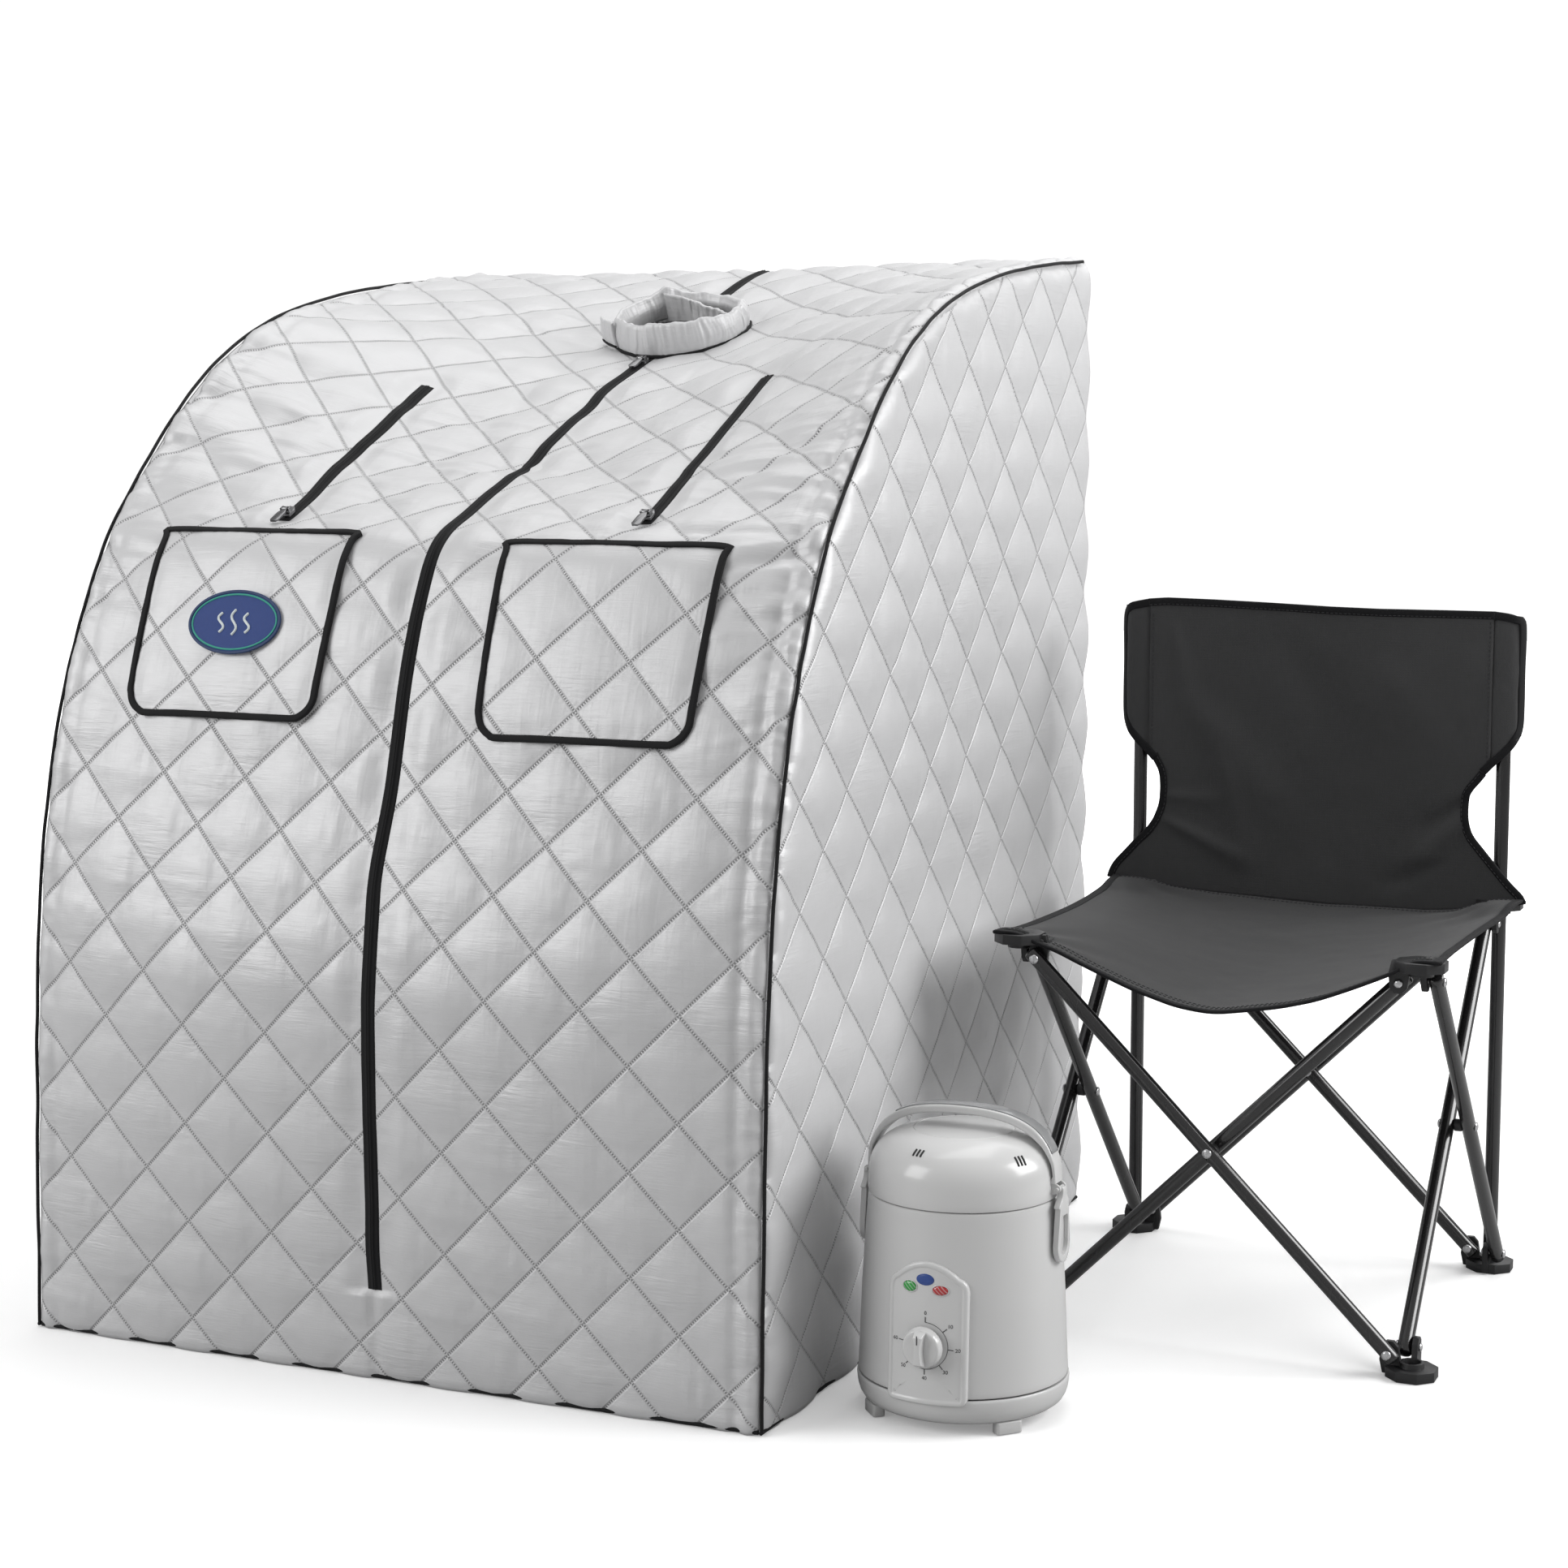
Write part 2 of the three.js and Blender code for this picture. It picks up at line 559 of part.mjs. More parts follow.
// skirted disc with a waisted grip bar, and a shaft to the rear
function timerKnob() {
  const disc = new THREE.CylinderGeometry(14.6, 16.3, 7, 28).translate(0, 3.5, 0)
    .rotateX(Math.PI);
  const grip = new THREE.Shape();
  grip.moveTo(-4.5, -14.4);
  grip.quadraticCurveTo(-2.2, 0, -4.5, 14.4);
  grip.lineTo(4.5, 14.4);
  grip.quadraticCurveTo(2.2, 0, 4.5, -14.4);
  const handle = extrudeForward(grip, 13, 5).translate(0, -1.5, 0);
  return union(disc, handle, rodBetween([0, -2, 0], [0, 11, 0], 3, 8));
}

// domed lid; on each side a latch pin held between two cheeks
function steamerLid() {
  const { x, z } = LATCH_PIN;
  const pins = [-1, 1].map((side) => rodBetween(
    [side * x, -10, z], [side * x, 10, z], 1.6, 10));
  const cheeks = [-1, 1].flatMap((side) => [-6.4, 6.4].map((y) => sideBox(
    side, 74, 82.6, y - 1.4, y + 1.4, z - 3.4, z + 3.4)));
  return union(turned(DOME, 24), ...pins, ...cheeks);
}

// arched band across the lid
function steamerHandle() {
  const arch = (half) => [...half, ...half.slice(0, -1).reverse().map(([x, z]) => [-x, z])];
  const width = 20;
  return extrudeForward(polygon([...arch(HANDLE_OUTER), ...arch(HANDLE_INNER)]), width)
    .translate(0, width / 2, 0);
}

// long loop hanging from the lid's pin, round the body's peg
function latch(side) {
  const { x, z } = LATCH_PIN;
  const neck = 4.4;       // half widths
  const width = 14.5;
  const opening = 8.6;
  const arcZ = 141;
  const loop = new THREE.Shape();
  loop.absarc(0, arcZ, width, Math.PI, 2 * Math.PI, false);
  for (const point of [[width, 171], [neck, 180], [neck, 187.5]]) loop.lineTo(...point);
  for (const point of [[-neck, 187.5], [-neck, 180], [-width, 171]]) loop.lineTo(...point);
  const hole = new THREE.Path();
  hole.absarc(0, arcZ, opening, Math.PI, 2 * Math.PI, false);
  hole.lineTo(opening, 164);
  hole.lineTo(-opening, 164);
  loop.holes.push(hole);
  const plate = extrudeRight(loop, 5, 8).translate(Math.min(side * 79.4, side * 84.4), 0, 0);
  const eye = rodBetween([side * x, -neck, z], [side * x, neck, z], 3.9);
  const bore = rodBetween([side * x, -12, z], [side * x, 12, z], 2.1);
  return minus(union(plate, eye), bore);
}

add('steamer_base', steamerBase(), FINISH.shellWhite, steamer);
add('steamer_body', steamerBody(), FINISH.shellWhite, steamer);
add('control_panel', controlPanel(), FINISH.shellWhite, steamer);
for (const [name, lamp] of Object.entries(LAMPS)) {
  add(`${name}_lamp`, lampLens(lamp), lamp.finish, steamer);
}
add('timer_knob', timerKnob(), FINISH.shellWhite, addGroup(moved(0, -87.7, KNOB_Z), steamer));
add('timer_unit', box(-15, 15, -76.2, -62, 56, 89), FINISH.timerGrey, steamer);
add('water_pot', turned(POT, 24), FINISH.steel, steamer);
const heatingRing = new THREE.TorusGeometry(38, 4, 6, 20).translate(0, 0, 50);
add('heating_element', heatingRing, FINISH.steel, steamer);
add('steamer_lid', steamerLid(), FINISH.shellWhite, steamer);
add('steamer_handle', steamerHandle(), FINISH.shellWhite, steamer);
for (const [name, side] of Object.entries(SIDES)) {
  add(`latch_${name}`, latch(side), FINISH.shellWhite, steamer);
}

// ---- folding chair ----------------------------------------------------------------------------
const chair = addGroup(moved(606, 525.5, 0));
const TUBE_R = 6.5;
const TUBE_BORE = 5.3;
const REACH = 436;             // scissor tube, pivot to pivot
const FOOT_PIVOT = 20;         // height of the lower pivots
const SPAN = REACH * Math.SQRT1_2;
const TOP_PIVOT = FOOT_PIVOT + SPAN;
const EAR = 18;                // pivot to corner axis
const CORNER = SPAN / 2 + EAR; // corner axis from the chair's centre, in x and y
const LAYER = 9.3;             // scissor tube centre to the plane of the ears
const TUBE_END = 7;            // tube beyond its pivots
const RIVET_R = 2.3;
const POST_TOP = 605;
const SEAT = { z: 348.9, half: 197, thickness: 3, sag: 57, sagHalf: 150 };
const CORNERS = {
  front_left: [-1, -1], front_right: [1, -1], rear_right: [1, 1], rear_left: [-1, 1],
};

// Corner fitting: octagonal flange, socket, and two ears carrying the pivots.
// It is drawn as the front left foot; the others are mirror images, the top ones upside down.
function fitting(sideX, sideY, isFoot) {
  const flange = upright(22, 8.5, 8).rotateZ(Math.PI / 8).translate(0, 0, 4.25);
  const socket = upright(10.5, 12.8, 12).translate(0, 0, 6.4);
  const outline = polygon([
    [0, 1], [EAR + 6, 1], [EAR + 8.5, 12], [EAR + 7, 25], [EAR + 3, 28.5],
    [EAR - 3, 28.5], [EAR - 7, 24], [EAR - 9, 12], [0, 12],
  ]);
  const pivotHole = new THREE.Path();
  pivotHole.absarc(EAR, FOOT_PIVOT, 2.7, 0, 2 * Math.PI, true);
  outline.holes.push(pivotHole);
  const ear = extrudeForward(outline, 5, 4).translate(0, 2.5, 0);
  const body = joined(flange, socket, ear, ear.clone().rotateZ(Math.PI / 2));
  // the post's bore: blind in a foot, open in a top fitting
  const geometry = shape(cut(body, upright(7.3, 30, 12).translate(0, 0, isFoot ? 19 : 10)));
  geometry.applyMatrix4(new THREE.Matrix4().makeScale(-sideX, -sideY, isFoot ? 1 : -1));
  const z = isFoot ? 0 : TOP_PIVOT + FOOT_PIVOT;
  return geometry.translate(sideX * CORNER, sideY * CORNER, z);
}

// Scissor tube, drawn with X along its side of the frame and Y outwards from it.
// foot: end of the side it stands at; layer: 1 outside the ears, -1 inside them.
// The tube with its foot at +X carries the centre rivet and spacer, the other is bored for it.
function scissorTube(foot, layer) {
  const footX = foot * SPAN / 2;
  const overX = -2 * footX / REACH * TUBE_END;
  const overZ = SPAN / REACH * TUBE_END;
  const rod = (x, z, fromY, toY, ...size) => rodBetween([x, fromY, z], [x, toY, z], ...size);
  const tube = rodBetween([footX - overX, layer * LAYER, FOOT_PIVOT - overZ],
    [-footX + overX, layer * LAYER, TOP_PIVOT + overZ], TUBE_R, 10);
  const earRivets = [[footX, FOOT_PIVOT], [-footX, TOP_PIVOT]].map(([x, z]) => rod(
    x, z, layer * LAYER, -layer * 4.2, RIVET_R, 6));
  const midZ = (FOOT_PIVOT + TOP_PIVOT) / 2;
  if (foot < 0) return shape(cut(joined(tube, ...earRivets), rod(0, midZ, 40, -40, 2.8, 8)));
  const rivetEnd = -layer * (LAYER + TUBE_R + 1.6);
  return union(tube, ...earRivets,
    rod(0, midZ, LAYER * layer, rivetEnd, RIVET_R, 6),
    rod(0, midZ, layer * 4.5, -layer * 2.3, 5.5, 8));
}

// Sides of the frame: outward direction, and the layer of tube a; tube b takes the other.
// Tube a stands at the right on the front and rear, and at the rear on the left and right.
const FACES = {
  front: { x: 0, y: -1, layer: 1 },
  rear: { x: 0, y: 1, layer: -1 },
  right: { x: 1, y: 0, layer: 1 },
  left: { x: -1, y: 0, layer: -1 },
};
const faceFrame = (x, y) => new THREE.Matrix4().makeBasis(
  new THREE.Vector3(Math.abs(y), Math.abs(x), 0),
  new THREE.Vector3(x, y, 0),
  new THREE.Vector3(0, 0, 1)).setPosition(CORNER * x, CORNER * y, 0);

function rearPost(side) {
  const x = side * CORNER;
  return minus(rodBetween([x, CORNER, 4.6], [x, CORNER, POST_TOP], TUBE_R, 16),
    rodBetween([x, CORNER, 0], [x, CORNER, POST_TOP - 12], TUBE_BORE, 16));
}

// seat: cloth hung between the four top brackets, pierced by the posts
function seatSling() {
  const { half } = SEAT;
  const xs = [
    -half, -150, -132, -112, -88, -60, -30, 0, 30, 60, 88, 112, 132, 150, half,
  ];
  const ys = [-half, -120, 0, 120, half];
  const drop = (x, y) => SEAT.sag * Math.max(0, 1 - (x / SEAT.sagHalf) ** 2)
    * (1 + 0.12 * (1 - (y / half) ** 2));
  const layer = (lift) => ys.map((y) => xs.map((x) => [x, y, SEAT.z + lift - drop(x, y)]));
  const postHoles = [-1, 1].map((side) => upright(8.5, 40, 12)
    .translate(side * CORNER, CORNER, SEAT.z));
  return minus(slab(layer(SEAT.thickness), layer(0)), ...postHoles);
}

// backrest: cloth between the posts with a sleeve over each, closed at the top
function backSling() {
  const top = POST_TOP + 4;
  const clothHalf = CORNER - 8.4;
  const cloth = box(-clothHalf, clothHalf, CORNER - 2, CORNER + 2, 353.4, top);
  const sleeveProfile = [
    [0, POST_TOP + 0.6], [7.2, POST_TOP + 0.6], [7.2, 424], [10.6, 424], [10.6, top], [0, top],
  ];
  const sleeves = [-1, 1].map((side) => turned(sleeveProfile, 16)
    .translate(side * CORNER, CORNER, 0));
  const notches = [-1, 1].map((side) => sideBox(
    side, CORNER - 22, CORNER + 30, CORNER - 20, CORNER + 20, 340, 421));
  return minus(union(cloth, ...sleeves), ...notches);
}

for (const [name, [sideX, sideY]] of Object.entries(CORNERS)) {
  add(`${name}_foot`, fitting(sideX, sideY, true), FINISH.plasticBlack, chair);
  add(`${name}_top_bracket`, fitting(sideX, sideY, false), FINISH.plasticBlack, chair);
}
for (const [name, { x, y, layer }] of Object.entries(FACES)) {
  for (const [letter, foot] of [['a', 1], ['b', -1]]) {
    const tube = scissorTube(foot, foot * layer).applyMatrix4(faceFrame(x, y));
    add(`${name}_tube_${letter}`, tube, FINISH.tubeBlack, chair);
  }
}
for (const [name, side] of Object.entries(SIDES)) {
  add(`rear_${name}_post`, rearPost(side), FINISH.tubeBlack, chair);
}
add('seat_sling', seatSling(), FINISH.canvas, chair);
add('back_sling', backSling(), FINISH.canvas, chair);

export default sauna;
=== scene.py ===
# Portable steam sauna kit: quilted cabin, steam generator and folding chair.
# Lengths are millimetres: x from the cabin's middle with its right side at +x, y rearwards from
# the cabin's front edge, z up from the floor. build() turns them into metres, with the origin
# half the cabin's depth behind its front edge.
import json
from functools import cached_property
from math import atan2, cos, hypot, pi, radians, sin, sqrt

import bmesh
import bpy
import numpy as np
from mathutils import Matrix, Vector

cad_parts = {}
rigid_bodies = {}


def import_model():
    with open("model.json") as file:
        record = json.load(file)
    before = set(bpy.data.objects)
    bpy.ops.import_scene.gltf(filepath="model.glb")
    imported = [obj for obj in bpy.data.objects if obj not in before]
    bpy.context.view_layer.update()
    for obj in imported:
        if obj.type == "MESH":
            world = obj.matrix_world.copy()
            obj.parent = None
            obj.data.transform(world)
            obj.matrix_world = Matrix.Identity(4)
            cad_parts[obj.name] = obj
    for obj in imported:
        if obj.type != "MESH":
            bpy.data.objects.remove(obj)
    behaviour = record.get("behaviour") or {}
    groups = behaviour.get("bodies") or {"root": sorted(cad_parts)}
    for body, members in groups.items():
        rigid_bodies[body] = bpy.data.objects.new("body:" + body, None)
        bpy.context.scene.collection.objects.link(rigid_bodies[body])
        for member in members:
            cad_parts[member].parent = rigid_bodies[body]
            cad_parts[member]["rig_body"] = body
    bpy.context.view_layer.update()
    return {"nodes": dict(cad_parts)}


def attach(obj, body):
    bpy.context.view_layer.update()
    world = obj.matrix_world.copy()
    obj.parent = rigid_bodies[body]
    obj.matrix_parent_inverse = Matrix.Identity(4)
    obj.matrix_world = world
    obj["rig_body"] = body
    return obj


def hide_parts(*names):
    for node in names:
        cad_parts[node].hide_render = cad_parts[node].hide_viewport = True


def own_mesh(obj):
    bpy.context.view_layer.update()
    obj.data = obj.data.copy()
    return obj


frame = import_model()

GRID = 4.0       # cloth mesh spacing
HALF, DEPTH = 350, 780             # cabin half width and depth
MIDDLE_Y = DEPTH / 2
SIDES = ((-1, "left"), (1, "right"))


# ---------------------------------------------------------------- noise and curves
def cell_random(column, row, seed):
    """a value from 0 to 1 for each lattice cell"""
    key = column.astype(np.int64) * 374761393 + row.astype(np.int64) * 668265263
    key = (key + seed * 974634777) & 0xFFFFFFFF
    key = ((key ^ (key >> 13)) * 1274126177) & 0xFFFFFFFF
    return ((key ^ (key >> 16)) & 0xFFFFFF) / float(0xFFFFFF)


def noise(x, y, seed=0):
    """smooth lattice noise from -1 to 1"""
    x, y = np.broadcast_arrays(np.asarray(x, float), np.asarray(y, float))
    col, row = np.floor(x), np.floor(y)
    x, y = (f ** 3 * (f * (f * 6 - 15) + 10) for f in (x - col, y - row))
    near, near_right = cell_random(col, row, seed), cell_random(col + 1, row, seed)
    far, far_right = cell_random(col, row + 1, seed), cell_random(col + 1, row + 1, seed)
    near = near + (near_right - near) * x
    far = far + (far_right - far) * x
    return (near * (1 - y) + far * y) * 2 - 1


def fbm(x, y, seed=0, octaves=3):
    return sum(noise(x * 2 ** k, y * 2 ** k, seed + 17 * k) / 2 ** k
               for k in range(octaves)) / 1.75


def smooth(start, end, x):
    part = np.clip((np.asarray(x, float) - start) / (end - start), 0, 1)
    return part * part * (3 - 2 * part)


def bell(x, width):
    return np.exp(-(x / width) ** 2)


def unit(vec):
    vec = np.asarray(vec, float)
    return vec / np.maximum(np.linalg.norm(vec, axis=-1, keepdims=True), 1e-12)


def lookup(table, x):
    """second column of a table, read off at x in its first"""
    return np.interp(x, table[:, 0], table[:, 1])


def ease(values, passes):
    """averages neighbours along the last axis, in place"""
    for _ in range(passes):
        values[..., 1:-1] = (0.25 * values[..., :-2] + 0.5 * values[..., 1:-1]
                             + 0.25 * values[..., 2:])


def curve_at(points, where):
    """smooth curve through the points, at fractional point numbers"""
    points = np.asarray(points, float)
    where = np.clip(np.asarray(where, float), 0, len(points) - 1)
    first = np.clip(np.floor(where).astype(int), 0, len(points) - 2)
    ends = [2 * points[0] - points[1]], [2 * points[-1] - points[-2]]
    padded = np.concatenate([ends[0], points, ends[1]])
    before, start, end, after = (padded[first + k] for k in range(4))
    part = where - first
    if points.ndim > 1:
        part = part[..., None]
    return 0.5 * (2 * start + (end - before) * part
                  + (2 * before - 5 * start + 4 * end - after) * part * part
                  + (3 * start - before - 3 * end + after) * part ** 3)


def arc_length(points):
    steps = np.linalg.norm(np.diff(points, axis=0), axis=1)
    return np.concatenate([[0], np.cumsum(steps)])


def resample(points, step, closed=False):
    """evenly spaced points on a smooth curve through the given ones"""
    points = np.asarray(points, float)
    if closed:
        points = np.concatenate([points[-2:], points, points[:3]])
        where = np.linspace(2, len(points) - 3, 40 * (len(points) - 5) + 1)
    else:
        where = np.linspace(0, len(points) - 1, 40 * (len(points) - 1) + 1)
    curve = curve_at(points, where)
    length = arc_length(curve)
    count = max(2, int(round(length[-1] / step)) + 1)
    even = np.linspace(0, length[-1], count)
    out = np.stack([np.interp(even, length, curve[:, k]) for k in range(3)], 1)
    return out[:-1] if closed else out


# ---------------------------------------------------------------- the cover's outside surface
# (y, z) at each station, from the front hem up over the roof to the rear: at the side seams
SIDE = np.array([
    (4, 0), (6, 60), (8, 130), (11, 200), (14, 270), (20, 345), (29, 415), (41, 475), (56, 530),
    (75, 580), (96, 625), (117, 662), (141, 698), (172, 732), (208, 768), (250, 806), (300, 842),
    (355, 871), (415, 893), (480, 909), (545, 921), (610, 929.5), (670, 936), (728, 941),
    (780, 945)], float)
# and along the middle
MIDDLE = np.array([
    (2, 0), (1, 60), (-1, 130), (-3, 200), (-4, 270), (-2, 340), (12, 405), (32, 470), (50, 530),
    (68, 585), (86, 632), (104, 670), (128, 692), (168, 708.2), (215, 727.24), (268, 748.7),
    (325, 771.79), (385, 796.09), (445, 820.39), (507, 845.5), (565, 869), (625, 893.3),
    (683, 916), (735, 934), (780, 945)], float)
# power of the blend from middle to side at each station
RISE = np.array([2.2] * 9 + [2.3, 2.5, 2.9, 3.2, 2.33, 1.79, 1.62, 1.45, 1.24] + [1.12] * 7)
LAST = len(SIDE) - 1
FLAT_HALF = 75                     # half width of the middle strip


def skin(x, station):
    x, station = np.broadcast_arrays(np.asarray(x, float), np.asarray(station, float))
    blend = np.clip((np.abs(x) - FLAT_HALF) / (HALF - FLAT_HALF), 0, 1) ** curve_at(RISE, station)
    middle, side = curve_at(MIDDLE, station), curve_at(SIDE, station)
    yz = middle + (side - middle) * blend[..., None]
    return np.stack([x, yz[..., 0], yz[..., 1]], -1)


def skin_normal(x, station):
    x, station = np.broadcast_arrays(np.asarray(x, float), np.asarray(station, float))
    along_x = skin(x + 1, station) - skin(x - 1, station)
    before, after = np.clip(station - 0.04, 0, LAST), np.clip(station + 0.04, 0, LAST)
    return unit(np.cross(along_x, skin(x, after) - skin(x, before)))


def on_skin(x, station, height):
    point = skin(x, station) + skin_normal(x, station) * np.asarray(height, float)[..., None]
    point[..., 2] = np.maximum(point[..., 2], 0)
    return point


# length of the cover from the floor up, in columns across x and fine stations
COLUMNS, COLUMN_STEP, FINE = 57, 12.5, 20
STATIONS = np.linspace(0, LAST, LAST * FINE + 1)
_points = skin(np.linspace(-HALF, HALF, COLUMNS)[:, None], STATIONS[None, :])
_steps = np.linalg.norm(np.diff(_points, axis=1), axis=2)
LENGTHS = np.concatenate([np.zeros((COLUMNS, 1)), np.cumsum(_steps, axis=1)], 1)
MEAN_LENGTHS = LENGTHS.mean(0)


def length_at(x, station):
    x, station = np.broadcast_arrays(np.asarray(x, float), np.asarray(station, float))
    x = np.clip((x + HALF) / COLUMN_STEP, 0, COLUMNS - 1.001)
    station = np.clip(station * FINE, 0, LAST * FINE - 0.001)
    i, j = x.astype(int), station.astype(int)
    x, part = x - i, station - j
    return ((LENGTHS[i, j] * (1 - part) + LENGTHS[i, j + 1] * part) * (1 - x)
            + (LENGTHS[i + 1, j] * (1 - part) + LENGTHS[i + 1, j + 1] * part) * x)


def column_lengths(x):
    return LENGTHS[int(round((x + HALF) / COLUMN_STEP))]


# ---------------------------------------------------------------- mesh building
def link_object(name, mesh):
    obj = bpy.data.objects.new(name, mesh)
    bpy.context.scene.collection.objects.link(obj)
    return obj


def build(name, verts, faces, mat, uv=None, smooth_shade=True, sharp=None):
    """an object from millimetre points; sharp is the crease angle in degrees"""
    coords = (np.asarray(verts, float).reshape(-1, 3) - [0, MIDDLE_Y, 0]) / 1000
    mesh = bpy.data.meshes.new(name)
    mesh.from_pydata(coords.tolist(), [], [list(map(int, f)) for f in faces])
    if uv is not None:
        layer = mesh.uv_layers.new(name="lay")
        corners = np.zeros(len(mesh.loops), np.int32)
        mesh.loops.foreach_get("vertex_index", corners)
        layer.data.foreach_set("uv", np.asarray(uv, np.float32)[corners].ravel())
    mesh.validate()
    mesh.update()
    if smooth_shade:
        mesh.shade_smooth()
        if sharp:
            mesh.set_sharp_from_angle(angle=radians(sharp))
    mesh.materials.append(mat)
    return link_object(name, mesh)


def face_out(obj):
    """turns all faces outwards"""
    bm = bmesh.new()
    bm.from_mesh(obj.data)
    bmesh.ops.recalc_face_normals(bm, faces=bm.faces)
    bm.to_mesh(obj.data)
    bm.free()
    return obj


def grid(step, x_range, y_range):
    lines = [np.linspace(lo, hi, int((hi - lo) / step)) for lo, hi in (x_range, y_range)]
    return np.meshgrid(*lines, indexing="ij")


def sheet(name, top, bottom, mat, uv, keep=None, flip=False, loop=False):
    """shell between two matching grids; keep masks its cells; loop joins the last row to the
    first"""
    rows, columns = top.shape[:2]
    count = rows * columns
    index = np.arange(count).reshape(rows, columns)
    here = index if loop else index[:-1]
    after = np.roll(index, -1, 0) if loop else index[1:]
    cells = np.stack([here[:, :-1], after[:, :-1], after[:, 1:], here[:, 1:]], -1).reshape(-1, 4)
    if keep is not None:
        cells = cells[keep.ravel()]
    if flip:
        cells = cells[:, ::-1]
    edges = np.concatenate([cells[:, [0, 1]], cells[:, [1, 2]], cells[:, [2, 3]],
                            cells[:, [3, 0]]])
    paired = np.isin(edges[:, 0] * count + edges[:, 1], edges[:, 1] * count + edges[:, 0])
    rim = edges[~paired]
    walls = np.stack([rim[:, 1], rim[:, 0], rim[:, 0] + count, rim[:, 1] + count], -1)
    faces = np.concatenate([cells, cells[:, ::-1] + count, walls])
    verts = np.concatenate([top.reshape(-1, 3), bottom.reshape(-1, 3)])
    used, inverse = np.unique(faces, return_inverse=True)
    uv = np.concatenate([uv.reshape(-1, 2)] * 2)[used]
    return build(name, verts[used], inverse.reshape(faces.shape), mat, uv)


def frames(points, up=None, closed=False):
    """outward and sideways directions at each point; outward follows up"""
    if closed:
        along = unit(np.roll(points, -1, 0) - np.roll(points, 1, 0))
    else:
        along = unit(np.gradient(points, axis=0))
    if up is None:
        out = np.zeros_like(points)
        start = np.array([0, 0, 1.0]) if abs(along[0][2]) < 0.9 else np.array([1.0, 0, 0])
        out[0] = unit(start - along[0] * (start @ along[0]))
        for i in range(1, len(points)):
            out[i] = unit(out[i - 1] - along[i] * (out[i - 1] @ along[i]))
    else:
        up = np.broadcast_to(np.asarray(up, float), points.shape)
        out = unit(up - along * np.sum(up * along, 1, keepdims=True))
    return out, np.cross(along, out)


def ring_quads(rings, count, base=0, closed=False):
    """faces between successive rings of count vertices"""
    faces = []
    for i in range(rings if closed else rings - 1):
        here, after = base + i * count, base + (i + 1) % rings * count
        for k in range(count):
            turn = (k + 1) % count
            faces.append((here + k, here + turn, after + turn, after + k))
    return faces


def end_caps(rings, count, base=0):
    last = base + (rings - 1) * count
    return [tuple(range(base, base + count))[::-1], tuple(range(last, last + count))]


def rim_walls(faces, offset):
    """walls from the open edges of faces to their copies offset along the vertex list"""
    edges = {}
    for face in faces:
        for k in range(len(face)):
            edges[(face[k], face[(k + 1) % len(face)])] = 1
    return [(b, a, a + offset, b + offset) for a, b in edges if (b, a) not in edges]


def tape_uv(across, along):
    """lay map in metres, across and along a strip"""
    return np.stack(np.broadcast_arrays(across[None, :], along[:, None]), -1).reshape(-1, 2) / 1000


def sweep(name, points, profile, mat, up=None, closed=False, scale=1.0):
    """profile [(across, out)] swept along points; out follows up"""
    points, profile = np.asarray(points, float), np.asarray(profile, float)
    out, side = frames(points, up, closed)
    rings, count = len(points), len(profile)
    scale = np.broadcast_to(scale, rings)[:, None, None]
    verts = (points[:, None] + side[:, None] * (profile[None, :, :1] * scale)
             + out[:, None] * (profile[None, :, 1:] * scale))
    faces = ring_quads(rings, count, closed=closed)
    if not closed:
        faces += end_caps(rings, count)
    uv = tape_uv(arc_length(profile), arc_length(points))
    return face_out(build(name, verts, faces, mat, uv))


def circle(radius, count=16, other_radius=None):
    turn = np.arange(count) / count * 2 * pi
    other_radius = radius if other_radius is None else other_radius
    return np.stack([np.cos(turn) * radius, np.sin(turn) * other_radius], 1)


def tube(name, points, radius, mat, sides=16, closed=False, up=None):
    """round rod; open ones get softly rounded ends"""
    points = np.asarray(points, float)
    scale = 1.0
    if not closed:
        reach = radius * 0.35 * np.sqrt([0.8, 0.45, 0.15])[:, None]
        head = points[0] + unit(points[0] - points[1]) * reach
        tail = points[-1] + unit(points[-1] - points[-2]) * reach[::-1]
        scale = np.concatenate([[0.25, 0.7, 0.93], np.ones(len(points)), [0.93, 0.7, 0.25]])
        points = np.concatenate([head, points, tail])
    return sweep(name, points, circle(radius, sides), mat, up, closed, scale)


def rounded(outline, radius, steps):
    """rounds the corners of a polygon"""
    outline = np.asarray(outline, float)
    out = []
    for i, corner in enumerate(outline):
        before, after = outline[i - 1], outline[(i + 1) % len(outline)]
        to_before, to_after = np.linalg.norm(before - corner), np.linalg.norm(after - corner)
        cut = min(radius, to_before * 0.45, to_after * 0.45)
        start = corner + (before - corner) / to_before * cut
        end = corner + (after - corner) / to_after * cut
        for part in np.linspace(0, 1, steps):
            out.append((1 - part) ** 2 * start + 2 * part * (1 - part) * corner
                       + part * part * end)
    return np.array(out)


def rounded_box(half, low, high, radius, steps):
    return rounded([(-half, low), (half, low), (half, high), (-half, high)], radius, steps)


def apply_mods(obj):
    graph = bpy.context.evaluated_depsgraph_get()
    mesh = bpy.data.meshes.new_from_object(obj.evaluated_get(graph))
    old = obj.data
    obj.modifiers.clear()
    obj.data = mesh
    bpy.data.meshes.remove(old)


def bevel_and_shade(obj, width, segments, limit):
    """bevels edges sharper than limit degrees by width mm, and shades smooth"""
    mod = obj.modifiers.new("bevel", "BEVEL")
    mod.width = width / 1000
    mod.segments = segments
    mod.limit_method = "ANGLE"
    mod.angle_limit = radians(limit)
    mod.use_clamp_overlap = True
    apply_mods(obj)
    obj.data.shade_smooth()
    obj.data.set_sharp_from_angle(angle=radians(40))


